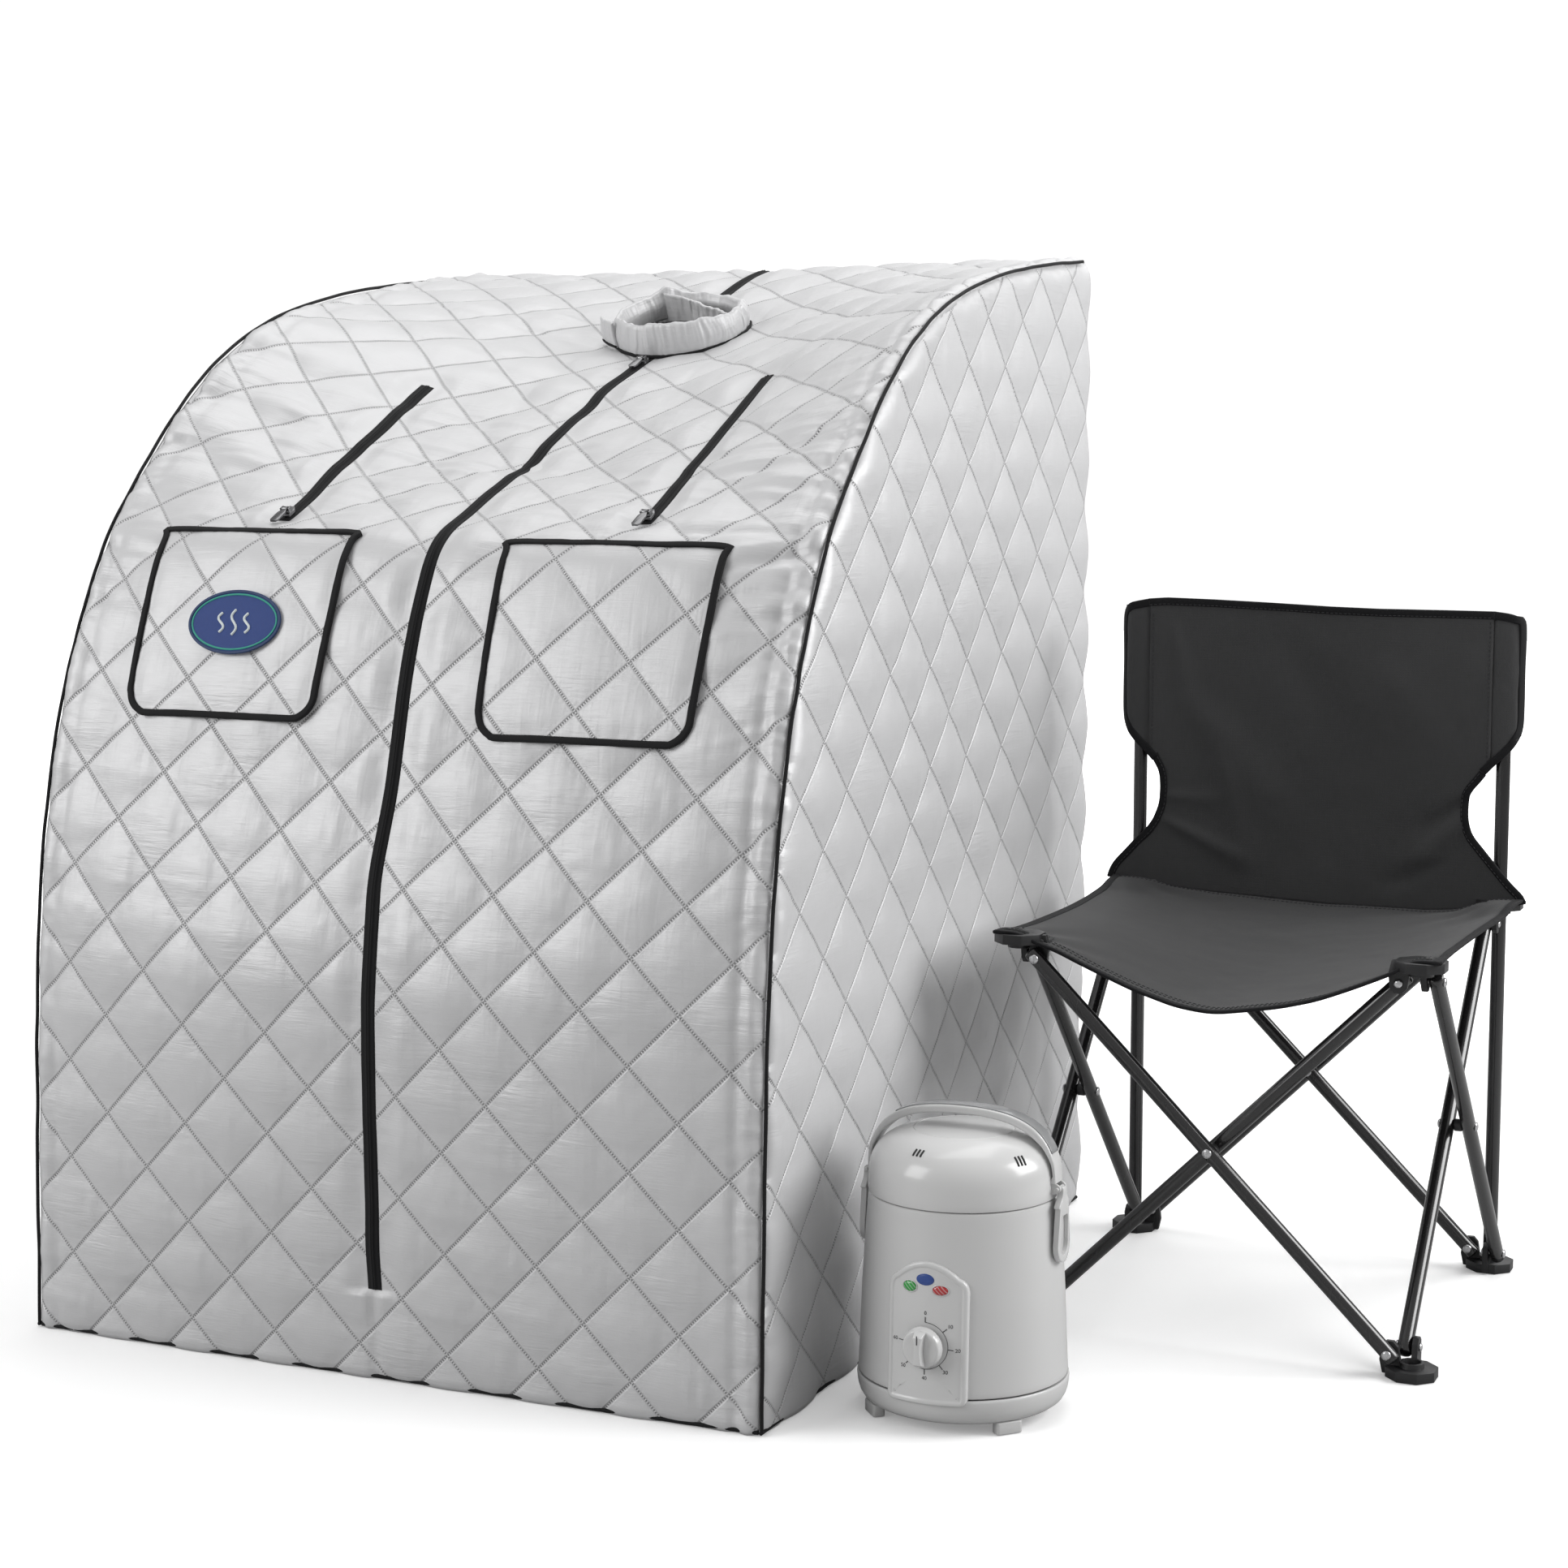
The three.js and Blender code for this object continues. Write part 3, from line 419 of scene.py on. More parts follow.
def prism(name, outline, place, depth, mat, bevel, segments=3, holes=()):
    """outline (a, b) given thickness from depth[0] to depth[1] along c, by place(a, b, c)"""
    bm = bmesh.new()
    loops = [outline, *holes]
    levels = [[[bm.verts.new(place(a, b, c)) for a, b in loop] for loop in loops] for c in depth]
    for low, high in zip(*levels):
        for i in range(len(low)):
            j = (i + 1) % len(low)
            bm.faces.new((low[i], low[j], high[j], high[i]))
    for level in levels:
        edges = [bm.edges.get((loop[i], loop[(i + 1) % len(loop)]))
                 for loop in level for i in range(len(loop))]
        bmesh.ops.triangle_fill(bm, use_beauty=True, use_dissolve=False, edges=edges)
    bmesh.ops.recalc_face_normals(bm, faces=bm.faces)
    bmesh.ops.dissolve_limit(bm, angle_limit=radians(1), verts=bm.verts, edges=bm.edges)
    for vert in bm.verts:
        vert.co = (vert.co - Vector((0, MIDDLE_Y, 0))) / 1000
    mesh = bpy.data.meshes.new(name)
    bm.to_mesh(mesh)
    bm.free()
    obj = link_object(name, mesh)
    mesh.materials.append(mat)
    bevel_and_shade(obj, bevel, segments, limit=50)
    return obj


def soften(node, name, mat, width):
    """a bevelled copy of a CAD node's mesh that replaces it"""
    source = frame["nodes"][node]
    mesh = source.data.copy()
    mesh.name = name
    mesh.materials.clear()
    bm = bmesh.new()
    bm.from_mesh(mesh)
    bmesh.ops.remove_doubles(bm, verts=bm.verts, dist=1e-5)
    bmesh.ops.dissolve_limit(bm, angle_limit=radians(3), verts=bm.verts, edges=bm.edges)
    bm.to_mesh(mesh)
    bm.free()
    for attribute in list(mesh.attributes):
        if attribute.name in ("custom_normal", "sharp_face"):
            mesh.attributes.remove(attribute)
    obj = link_object(name, mesh)
    mesh.materials.append(mat)
    bevel_and_shade(obj, width, segments=2, limit=32)
    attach(obj, source["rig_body"])
    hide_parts(node)


def put(obj, body, node=None):
    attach(obj, body)
    if node:
        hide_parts(node)
    return obj


def merge(name, parts):
    """joins pieces of one material each into one object"""
    bm = bmesh.new()
    mats = []
    for part in parts:
        base = len(bm.faces)
        bm.from_mesh(part.data)
        bm.faces.ensure_lookup_table()
        mat = part.data.materials[0]
        if mat not in mats:
            mats.append(mat)
        for face in bm.faces[base:]:
            face.material_index = mats.index(mat)
    mesh = bpy.data.meshes.new(name)
    bm.to_mesh(mesh)
    bm.free()
    for mat in mats:
        mesh.materials.append(mat)
    for part in parts:
        bpy.data.objects.remove(part)
    return link_object(name, mesh)


# ---------------------------------------------------------------- material toolkit
class Value:
    """a shader output that can be added, subtracted and multiplied"""
    def __init__(self, mat, socket):
        self.mat = mat
        self.socket = socket

    def __add__(self, other):
        return self.mat.math("ADD", self, other)

    def __radd__(self, other):
        return self.mat.math("ADD", other, self)

    def __sub__(self, other):
        return self.mat.math("SUBTRACT", self, other)

    def __rsub__(self, other):
        return self.mat.math("SUBTRACT", other, self)

    def __mul__(self, other):
        return self.mat.math("MULTIPLY", self, other)


class Mat:
    """a Principled material and the nodes that feed it"""
    def __init__(self, name, rough=0.5, metal=0.0, color=(0.8, 0.8, 0.8)):
        self.material = bpy.data.materials.new(name)
        self.material.use_nodes = True
        self.tree = self.material.node_tree
        self.tree.nodes.clear()
        output = self.tree.nodes.new("ShaderNodeOutputMaterial")
        self.principled = self.tree.nodes.new("ShaderNodeBsdfPrincipled")
        self.tree.links.new(self.principled.outputs[0], output.inputs[0])
        self.set(Roughness=rough, Metallic=metal, Base_Color=(*color, 1))

    def node(self, kind, inputs=None, **props):
        node = self.tree.nodes.new(kind)
        for key, value in props.items():
            setattr(node, key, value)
        for key, value in (inputs or {}).items():
            self.link(node.inputs[key], value)
        return node

    def out(self, kind, inputs=None, output=0, **props):
        return Value(self, self.node(kind, inputs, **props).outputs[output])

    def link(self, socket, value):
        if isinstance(value, Value):
            self.tree.links.new(value.socket, socket)
        else:
            socket.default_value = value

    def set(self, **inputs):
        """sets Principled inputs; underscores stand for spaces"""
        for key, value in inputs.items():
            self.link(self.principled.inputs[key.replace("_", " ")], value)

    @cached_property
    def co(self):
        return self.out("ShaderNodeTexCoord", output="Object")

    def split(self, vec):
        return [Value(self, s) for s in self.node("ShaderNodeSeparateXYZ", {0: vec}).outputs]

    def lay(self):
        """the lay map, and its two coordinates"""
        lay = self.out("ShaderNodeUVMap", uv_map="lay")
        across, along, _ = self.split(lay)
        return lay, across, along

    def math(self, operation, first, second=0.0):
        return self.out("ShaderNodeMath", {0: first, 1: second, 2: 0.0}, operation=operation)

    def step(self, start, end, value):
        return self.out("ShaderNodeMapRange", {"Value": value, "From Min": start, "From Max": end},
                        interpolation_type="SMOOTHSTEP")

    def noise(self, vec, scale=1.0, detail=2.0, rough=0.5, distort=0.0, stretch=None,
              shift=(0, 0, 0)):
        if stretch:
            vec = self.out("ShaderNodeMapping",
                           {"Vector": vec, "Scale": stretch, "Location": shift})
        return self.out("ShaderNodeTexNoise", {"Vector": vec, "Scale": scale, "Detail": detail,
                                               "Roughness": rough, "Distortion": distort})

    def mix(self, factor, *colors):
        node = self.node("ShaderNodeMix", data_type="RGBA")
        self.link(node.inputs["Factor"], factor)
        for socket, color in zip((6, 7), colors):
            self.link(node.inputs[socket], color if isinstance(color, Value) else (*color, 1))
        return Value(self, node.outputs[2])

    def bump(self, height, mm, strength):
        return self.out("ShaderNodeBump",
                        {"Height": height, "Distance": mm / 1000, "Strength": strength})


def shade(color, factor):
    return tuple(c * factor for c in color)


# ---------------------------------------------------------------- materials
LINE_GAP = 59.5                    # between parallel lines of quilting
SATIN_GREY = (0.615, 0.615, 0.622)


def satin(name, stitched=True, streak=1.0):
    """silver-grey satin; the lay map holds the lattice, one cell per unit along both diagonals"""
    mat = Mat(name, rough=0.4, metal=0.20)
    lay, across, up = mat.lay()
    # crinkles lying across the cloth, in patches
    wobble = mat.noise(lay, stretch=(1.3, 1.3, 1))
    patch = mat.step(0.42, 0.72, mat.noise(lay, stretch=(0.9, 1.1, 1), shift=(3.1, 7.7, 0)))
    crinkle = mat.noise(lay, detail=3.0, rough=0.55, distort=0.6, stretch=(1.6, 15.0, 1))
    upright = mat.noise(lay, distort=0.4, stretch=(13.0, 1.8, 1), shift=(9.0, 2.0, 0))
    fine = mat.noise(lay, stretch=(5.0, 70.0, 1))
    fold = crinkle * patch * 1.0 + upright * 0.35
    weave = mat.math("SINE", up * 1050.0) * 0.5
    height = fold * streak + (fine * (0.16 * streak) + weave * 0.008)
    color = mat.mix(wobble * 0.5, SATIN_GREY, shade(SATIN_GREY, 0.93))
    color = mat.mix(fine * 0.3, color, shade(SATIN_GREY, 0.86))
    if stitched:
        rise, fall = across + up, across - up

        def line(over, along, offset):
            """distance from a stitched line in mm, and where thread lies along it"""
            distance = mat.math("ABSOLUTE", over - mat.math("ROUND", over)) * LINE_GAP
            run = mat.math("FRACT", along * 25.0 + offset)
            return distance, mat.step(0.0, 0.14, run) * (1.0 - mat.step(0.50, 0.64, run))

        def near(distance, width):
            return 1.0 - mat.step(0.0, width, distance)

        to_a, thread_a = line(rise, fall, offset=0.0)
        to_b, thread_b = line(fall, rise, offset=0.3)
        groove = mat.math("MAXIMUM", near(to_a, 2.2), near(to_b, 2.2))
        thread = mat.math("MAXIMUM", near(to_a, 1.15) * thread_a, near(to_b, 1.15) * thread_b)
        hole = mat.math("MAXIMUM", near(to_a, 1.25) * (1.0 - thread_a),
                        near(to_b, 1.25) * (1.0 - thread_b))
        # puckers drawn across each stitched line
        pucker = mat.noise(lay, rough=0.6, stretch=(24.0, 24.0, 1))
        wide = mat.math("MAXIMUM", near(to_a, 11.0), near(to_b, 11.0))
        height = height + pucker * wide * 0.5
        height = height + (groove * -1.15 + (thread * 0.55 + hole * -0.7))
        # painted shade: the colour is darkened along the stitched grooves
        color = mat.mix(groove * 0.07, color, shade(SATIN_GREY, 0.6))
        # painted shade: the stitch holes are darkened in the colour
        color = mat.mix(hole * 0.8, color, shade(SATIN_GREY, 0.26))
        color = mat.mix(thread * 0.55, color, shade(SATIN_GREY, 1.18))
    mat.set(Base_Color=color, Roughness=0.42 + fine * 0.14, Specular_IOR_Level=0.6,
            Sheen_Weight=0.15, Sheen_Roughness=0.4,
            Normal=mat.bump(height, mm=1.15, strength=0.8))
    return mat.material


def webbing(name, base, period, rough=0.75):
    """ribbed black tape, one rib per period in mm; the lay map is in metres"""
    mat = Mat(name, rough)
    _, across, along = mat.lay()
    waves = 2 * pi / (period / 1000)
    rib = mat.math("SINE", along * waves + across * (waves * 0.6))
    patchy = mat.noise(mat.co, detail=3.0, stretch=(60, 60, 60))
    light = tuple(c * 1.5 + 0.001 for c in base)
    mat.set(Base_Color=mat.mix(patchy, shade(base, 0.7), light),
            Roughness=rough - 0.15 + patchy * 0.25, Sheen_Weight=0.03, Specular_IOR_Level=0.2,
            Normal=mat.bump(rib * 0.5 + mat.noise(mat.co, detail=1.0, stretch=(900, 900, 900)),
                            mm=0.18, strength=0.6))
    return mat.material


def plastic(name, base, rough, grain, dirt, coat=0.0):
    mat = Mat(name, rough)
    broad = mat.noise(mat.co, scale=9.0, detail=4.0)
    fine = mat.noise(mat.co, scale=900.0)
    mat.set(Base_Color=mat.mix(broad * (dirt * 4), base, shade(base, 0.9)),
            Roughness=rough - 0.05 + (broad * 0.1 + fine * 0.04),
            Normal=mat.bump(fine + mat.noise(mat.co, scale=45.0) * 0.6, mm=grain, strength=0.5))
    if coat:
        mat.set(Coat_Weight=coat, Coat_Roughness=0.12)
    return mat.material


def metal(name, base, rough, brushed=0.0):
    mat = Mat(name, rough, metal=1.0)
    broad = mat.noise(mat.co, scale=60.0, detail=3.0)
    grain = mat.noise(mat.co, stretch=(900.0, 900.0, 12.0))
    mat.set(Base_Color=mat.mix(broad, base, shade(base, 0.82)),
            Roughness=rough - 0.06 + (broad * 0.12 + grain * 0.08),
            Normal=mat.bump(grain, mm=0.02 + brushed, strength=0.4))
    return mat.material


def enamel(name):
    """glossy black paint with a few fine scratches"""
    mat = Mat(name, rough=0.16, color=(0.012, 0.012, 0.013))
    broad = mat.noise(mat.co, scale=25.0, detail=4.0)
    scratch = mat.step(0.66, 0.74, mat.noise(mat.co, stretch=(700, 700, 25)))
    mat.set(Base_Color=mat.mix(scratch * 0.25, (0.011, 0.0105, 0.011), (0.05, 0.05, 0.05)),
            Roughness=0.14 + (broad * 0.14 + scratch * 0.2), Specular_IOR_Level=0.6,
            Coat_Weight=0.5, Coat_Roughness=0.08,
            Normal=mat.bump(mat.noise(mat.co, scale=220.0), mm=0.03, strength=0.5))
    return mat.material


def canvas(name, base):
    """charcoal oxford cloth; the lay map is across and along, in metres"""
    mat = Mat(name, rough=0.75)
    lay, across, along = mat.lay()
    waves = 2 * pi / 0.0011        # one per pair of threads
    weave = mat.math("SINE", across * waves) * mat.math("SINE", along * waves)
    slub = mat.noise(lay, stretch=(60, 900, 1))
    cross_slub = mat.noise(lay, stretch=(900, 60, 1))
    blotch = mat.noise(mat.co, scale=14.0, detail=4.0)
    tone = blotch * 0.5 + (slub * 0.35 + cross_slub * 0.35)
    mat.set(Base_Color=mat.mix(tone, shade(base, 0.78), shade(base, 1.22)),
            Roughness=0.62 + slub * 0.2, Sheen_Weight=0.12, Specular_IOR_Level=0.35,
            Normal=mat.bump(weave * 0.5 + (slub + cross_slub), mm=0.25, strength=0.5))
    return mat.material


def speckled(name, rough, scale, dark, light, bump_mm=None, color=(0.8, 0.8, 0.8), **inputs):
    """two tones mixed by fine noise; inputs are further Principled values"""
    mat = Mat(name, rough, color=color)
    grain = mat.noise(mat.co, scale=scale)
    mat.set(Base_Color=mat.mix(grain, dark, light), **inputs)
    if bump_mm:
        mat.set(Normal=mat.bump(grain, mm=bump_mm, strength=0.5))
    return mat.material


BLACK_CLOTH = (0.0085, 0.0085, 0.0092)
SATIN = satin("quilted_satin")
SATIN_SIDE = satin("quilted_satin_side", streak=0.7)
SATIN_PLAIN = satin("plain_satin", stitched=False, streak=1.3)
PIPING = webbing("black_piping", BLACK_CLOTH, period=0.9)
TAPE = webbing("zip_tape", BLACK_CLOTH, period=0.8, rough=0.8)
CHROME = metal("zip_metal", (0.20, 0.20, 0.205), rough=0.24)
ROD_METAL = metal("frame_rod", (0.55, 0.55, 0.57), rough=0.3)
STEEL = metal("pot_steel", (0.6, 0.6, 0.61), rough=0.25, brushed=0.02)
WHITE = plastic("steamer_plastic", (0.60, 0.60, 0.598), rough=0.34, grain=0.02, dirt=0.05,
                coat=0.15)
GLOSS = plastic("steamer_plastic_gloss", (0.62, 0.62, 0.618), rough=0.22, grain=0.01, dirt=0.05,
                coat=0.3)
BLACK_PLASTIC = plastic("dark_plastic", (0.014, 0.014, 0.015), rough=0.38, grain=0.05, dirt=0.1)
ENAMEL = enamel("black_tube")
CANVAS = canvas("chair_canvas", (0.045, 0.0452, 0.0462))
# painted shade: the seat is the back's canvas made darker, to hold down the light falling on it from
# above
CANVAS_SEAT_SHADED = canvas("chair_canvas_seat_shaded", (0.030, 0.0302, 0.031))
BINDING = webbing("chair_binding", (0.008, 0.008, 0.009), period=1.1)

# ---------------------------------------------------------------- quilting
PITCH = (83.6, 84.8)               # quilted diamond, across and up


def lay_uv(across, up, pitch=PITCH, origin=(110.2, 495.0)):
    return np.stack([(across - origin[0]) / pitch[0], (up - origin[1]) / pitch[1]], -1)


def puff(lay, height, soft=7.5):
    """height of the padding between the stitched lines"""
    rise, fall = lay[..., 0] + lay[..., 1], lay[..., 0] - lay[..., 1]
    to_a, to_b = (np.abs(line - np.round(line)) * LINE_GAP for line in (rise, fall))
    amount = 1 + 0.16 * (cell_random(np.floor(rise), np.floor(fall), 5) * 2 - 1)
    pad = (1 - np.exp(-to_a / soft)) * (1 - np.exp(-to_b / soft)) * height * amount
    # creases drawn in from the stitches
    crease = fbm(lay[..., 0] * 7, lay[..., 1] * 7, 31, 2) * 0.10 * height
    return pad + crease * bell(np.minimum(to_a, to_b) - 7, 9)


# ---------------------------------------------------------------- cabin: front and roof
EDGE = 345.6                       # the sheet turns in under the piping here
ARM_ZIPS = {"left": -172.0, "right": 178.0}
NECK = np.array([8, 572, 871.8])   # centre of the neck opening
NECK_UP = 1178                     # its length up the cover
NECK_HOLE = 59.5
SLOPE = atan2(153.5, 379)          # of the roof at the neck


def neck_local(point):
    x, y, z = np.moveaxis(point - NECK, -1, 0)
    return np.stack([x, y * cos(SLOPE) + z * sin(SLOPE), -y * sin(SLOPE) + z * cos(SLOPE)], -1)


def neck_world(point):
    x, y, z = np.moveaxis(np.asarray(point, float), -1, 0)
    turned = [x, y * cos(SLOPE) - z * sin(SLOPE), y * sin(SLOPE) + z * cos(SLOPE)]
    return np.stack(turned, -1) + NECK


def roof_wave(x, up):
    """slow rises and dips shared by the roof cloth and the zips sewn to it"""
    start, end = 800.0, 1235.0
    on_roof = smooth(start, start + 50, up) * (1 - smooth(end - 60, end, up))
    wave = noise(x / 165 + 0.35 * noise(up / 130, 2.5, 402), up / 40 + x / 260, 401) * 3.3
    wave = wave + noise(x / 240, up / 95, 403) * 2.4
    wave = wave * on_roof * (1 - bell(x - NECK[0], 95) * bell(up - NECK_UP, 80))
    # never proud of the sliders' paths along the arm zips
    for zip_x in ARM_ZIPS.values():
        wave = wave - np.maximum(wave - 0.1, 0) * np.exp(-((x - zip_x) / 30) ** 4)
    return wave


def front_height(x, station, up, lay):
    """how far the cloth stands off the skin"""
    roof = smooth(11.5, 14, station)
    off_middle = np.abs(x)
    edge = HALF - off_middle
    right = x > 0
    # the cloth rolls over to the side seams
    roll = 2.3 * bell(edge - 12.5, 6.5) - 2.1 * bell(edge - 25.5, 4.5)
    roll = roll * np.where(right, 1.0, 0.45) * (1 + 0.35 * noise(up / 7.5, edge / 30, 301))
    roll = roll - 5.6 * (1 - np.clip(edge / 13, 0, 1)) ** 2
    roll = roll + noise(up / 5.6, 0.4 + edge / 60, 303) * 0.75 * bell(edge - 10, 8)
    height = puff(lay, 5.0, 12.0) * (0.35 + 0.65 * smooth(2, 20, edge))
    # gathers fanning out of the side seams
    bulge = bell(station - 12.5, 4.2)
    reach = np.where(right, 28 + 85 * bulge, 20 + 45 * bulge)
    lean = up + 0.22 * edge * np.where(station > 12, -1, 1) + 9 * noise(x / 70, up / 60, 3)
    gather = noise(lean / 10.5, edge / 150, 11) + 0.6 * noise(lean / 6.2, edge / 90, 12)
    gather = gather * np.exp(-edge / reach) * np.where(right, 1.0, 0.75)
    gather = gather * (0.6 + 2.9 * bulge) * smooth(0, 10, edge)
    # long shallow creases across the roof, and faint ones across the front
    crease = noise(x / 62 + 0.1 * noise(x / 30, up / 30, 8), up / 8.5 + x / 90, 21)
    crease = crease * (0.28 + 0.95 * roof) * smooth(-0.3, 0.4, noise(x / 110, up / 80, 22))
    slant = noise(x / 48 - up / 130, up / 14 + x / 34, 23) * 0.75 * roof
    crease = crease + slant * smooth(0.0, 0.45, noise(x / 90, up / 100, 24))
    wave = fbm(x / 170, up / 150, 41, 2) * (1.1 + 1.4 * roof)
    height = height + gather + crease + wave
    # calmer round the neck
    from_neck = np.hypot(x - NECK[0], up - NECK_UP)
    height = height * (1 - 0.6 * roof * np.exp(-(from_neck / 108) ** 6))
    # held flat beside the zips and along the plain seam below the front zip
    zipped = (station > 1.2) & (station < 19.3) | (station > 20.9)
    beside_zip = np.where(zipped, smooth(7.6, 34, off_middle) ** 0.9, 1)
    flat = np.where(station <= 1.25, 0.35 + 0.65 * smooth(0.5, 9, off_middle), 1)
    flat = np.minimum(beside_zip, flat)
    along_arm = smooth(12.15, 12.5, station) * (1 - smooth(17.3, 17.65, station))
    for zip_x in ARM_ZIPS.values():
        flat = np.minimum(flat, 1 - along_arm * (1 - smooth(7.4, 28, np.abs(x - zip_x))))
    # short upright creases at the right of each quilted diamond
    rise, fall = lay[..., 0] + lay[..., 1], lay[..., 0] - lay[..., 1]
    rise_part, fall_part = rise % 1.0, fall % 1.0
    rightwards = rise_part + fall_part - 1.0
    spot = smooth(-0.1, 0.35, rightwards) * (1 - smooth(0.5, 0.85, rightwards))
    spot = spot * bell(rise_part - fall_part, 0.34)
    cell = cell_random(np.floor(rise), np.floor(fall), 9)
    upright = noise(x / 7.5, up / 30, 55) * 0.62 * spot * (0.35 + cell) * (1 - 0.5 * roof)
    height = (height + upright + 0.9) * flat - 2.0 + roof_wave(x, up)
    # puckers running into the zip seams
    pucker = np.exp(-np.abs(off_middle - 13) / 7) * (beside_zip > 0.02) * (station > 1.2)
    return height + pucker * noise(up / 6.5, np.sign(x) * 3.3, 77) * 0.55 + roll


def front_and_roof():
    step = 3.0
    columns = int(2 * EDGE / step)
    xs = np.linspace(-EDGE, EDGE, columns + columns % 2 + 1)
    total = MEAN_LENGTHS[-1]
    rows = np.linspace(0, total, int(total / step) + 1)
    x, station = np.meshgrid(xs, np.interp(rows, MEAN_LENGTHS, STATIONS), indexing="ij")
    up = length_at(x, station)
    lay = lay_uv(x, up)
    to_rear = length_at(x, np.full_like(station, LAST)) - up
    height = front_height(x, station, up, lay)
    height = height - 2.2 * (1 - smooth(0, 7, up)) - 2.0 * (1 - smooth(0, 8, to_rear))
    top = on_skin(x, station, height)
    inside = -6.3 + 0.5 * noise(x / 60, up / 60, 5) - 1.2 * (1 - smooth(0, 12, HALF - np.abs(x)))
    bottom = on_skin(x, station, inside)
    centre = neck_local(0.25 * (top[:-1, :-1] + top[1:, :-1] + top[1:, 1:] + top[:-1, 1:]))
    in_hole = np.hypot(centre[..., 0], centre[..., 1]) < NECK_HOLE
    keep = ~(in_hole & (np.abs(centre[..., 2]) < 40))
    obj = sheet("cover_front_and_roof", top, bottom, SATIN, lay, keep)
    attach(obj, "cabin")
    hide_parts("front_left_panel", "front_right_panel")


front_and_roof()


# ---------------------------------------------------------------- cabin: side walls
def inward(curve):
    return unit(np.stack([np.gradient(curve[:, 1]), -np.gradient(curve[:, 0])], 1))


SEAM_INSET = 4.6
OUTLINE = curve_at(SIDE, np.linspace(0, LAST, 900))
OUTLINE_IN = inward(OUTLINE)
INNER = OUTLINE + OUTLINE_IN * SEAM_INSET


def edge_distance(y, z):
    """distance inside the seam curve, and the nearest outline point's number"""
    points = np.stack([y.ravel(), z.ravel()], 1)
    best = np.full(len(points), 1e9)
    side = np.ones(len(points))
    nearest = np.zeros(len(points))
    for k in range(0, len(OUTLINE), 6):
        offset = points - OUTLINE[k]
        distance = np.hypot(offset[:, 0], offset[:, 1])
        closer = distance < best
        best[closer] = distance[closer]
        side[closer] = np.sign((offset[closer] * OUTLINE_IN[k]).sum(1))
        nearest[closer] = k
    return (best * side).reshape(y.shape), nearest.reshape(y.shape)


def side_wall(sign, side, origin):
    step = GRID * 1.05
    right = sign > 0
    y, z = grid(step, (0, DEPTH - 0.4), (0, 944))
    distance, nearest = edge_distance(y, z)
    inside = distance > SEAM_INSET + step * 0.35
    keep = inside[:-1, :-1] & inside[1:, :-1] & inside[1:, 1:] & inside[:-1, 1:]
    # border points of the kept cells move onto the seam line
    touching = np.zeros_like(y)
    for i in (0, 1):
        for j in (0, 1):
            touching[i:i + keep.shape[0], j:j + keep.shape[1]] += keep
    border = (touching > 0) & (touching < 4) & (distance < SEAM_INSET + 2.2 * step)
    moved_y, moved_z = y.copy(), z.copy()
    for i, j in np.argwhere(border):
        k = int(np.hypot(INNER[:, 0] - y[i, j], INNER[:, 1] - z[i, j]).argmin())
        moved_y[i, j], moved_z[i, j] = INNER[k]
    y, z = moved_y, np.clip(moved_z, 0, 942)
    lay = lay_uv(y, z, (93.3, 86.9), origin)
    edge = np.where(border, 0, np.clip(distance, 0, None))
    pad = puff(lay, 5.6, 12.5) * (0.3 + 0.7 * smooth(2, 22, edge))
    lean = nearest * 1.55 + 0.25 * edge + 6 * noise(y / 60, z / 60, 9)
    pucker = noise(lean / 6.5, edge / 60, 61 + right) + 0.5 * noise(lean / 3.9, edge / 50, 63)
    pucker = pucker * np.exp(-edge / 26) * 0.9 * smooth(0, 8, edge)
    wave = fbm(y / 190, z / 170, 51 + right, 2) * 2.2 * smooth(0, 60, edge)
    # the wall hangs a little hollow behind its middle
    hollow = -2.6 * bell(y - 500, 150) * bell(z - 500, 210)
    crease = noise(y / 7.5, z / 60, 71) * 0.28 * smooth(0, 0.5, noise(y / 90, z / 120, 72))
    out = -1.6 + pad + pucker + wave + crease + hollow
    out = out - 2.0 * (1 - smooth(0, 10, edge)) - 1.5 * (1 - smooth(0, 8, z))
    out = np.where(border, -3.6, out - (1 - smooth(0, 8, DEPTH - y)))
    top = np.stack([sign * (HALF + out), y, z], -1)
    bottom = np.stack([np.full_like(y, sign * (HALF - 6.4)), y, z], -1)
    obj = sheet(f"cover_{side}_wall", top, bottom, SATIN_SIDE, lay, keep, flip=sign < 0)
    put(obj, "cabin", f"{side}_side_panel")


def back_wall():
    half, height = 346.5, 941.5
    x, z = grid(GRID * 1.1, (-half, half), (0, height))
    lay = lay_uv(x, z, origin=(0, 20))
    to_side, to_top = half - np.abs(x), height - z
    edge = np.minimum(np.minimum(to_side, to_top), z)
    pad = puff(lay, 5.6, 12.5) * (0.3 + 0.7 * smooth(2, 20, edge))
    wave = fbm(x / 180, z / 170, 81, 2) * 2.0 * smooth(0, 60, edge)
    pucker = noise(np.where(to_top < to_side, x, z) / 6.5, edge / 60, 83)
    pucker = pucker * np.exp(-edge / 22) * 0.8 * smooth(0, 8, edge)
    out = pad + wave + pucker - 1.4 - 2.6 * (1 - smooth(0, 10, edge))
    top = np.stack([x, DEPTH - 0.4 + out, z], -1)
    bottom = np.stack([x, np.full_like(x, DEPTH - 6.6), z], -1)
    put(sheet("cover_back_wall", top, bottom, SATIN_SIDE, lay, flip=True),
        "cabin", "back_panel")


def floor_sheet():
    half, front, rear = 341, 17, 771
    x, y = grid(GRID * 2, (-half, half), (front, rear))
    lay = lay_uv(x, y, origin=(0, 0))
    edge = np.minimum(half - np.abs(x), np.minimum(y - front, rear - y))
    top = np.stack([x, y, 4.4 + puff(lay, 2.4) * smooth(0, 14, edge)], -1)
    bottom = np.stack([x, y, np.full_like(x, 0.3)], -1)
    put(sheet("cover_floor_sheet", top, bottom, SATIN_SIDE, lay, flip=True),
        "cabin", "floor_panel")


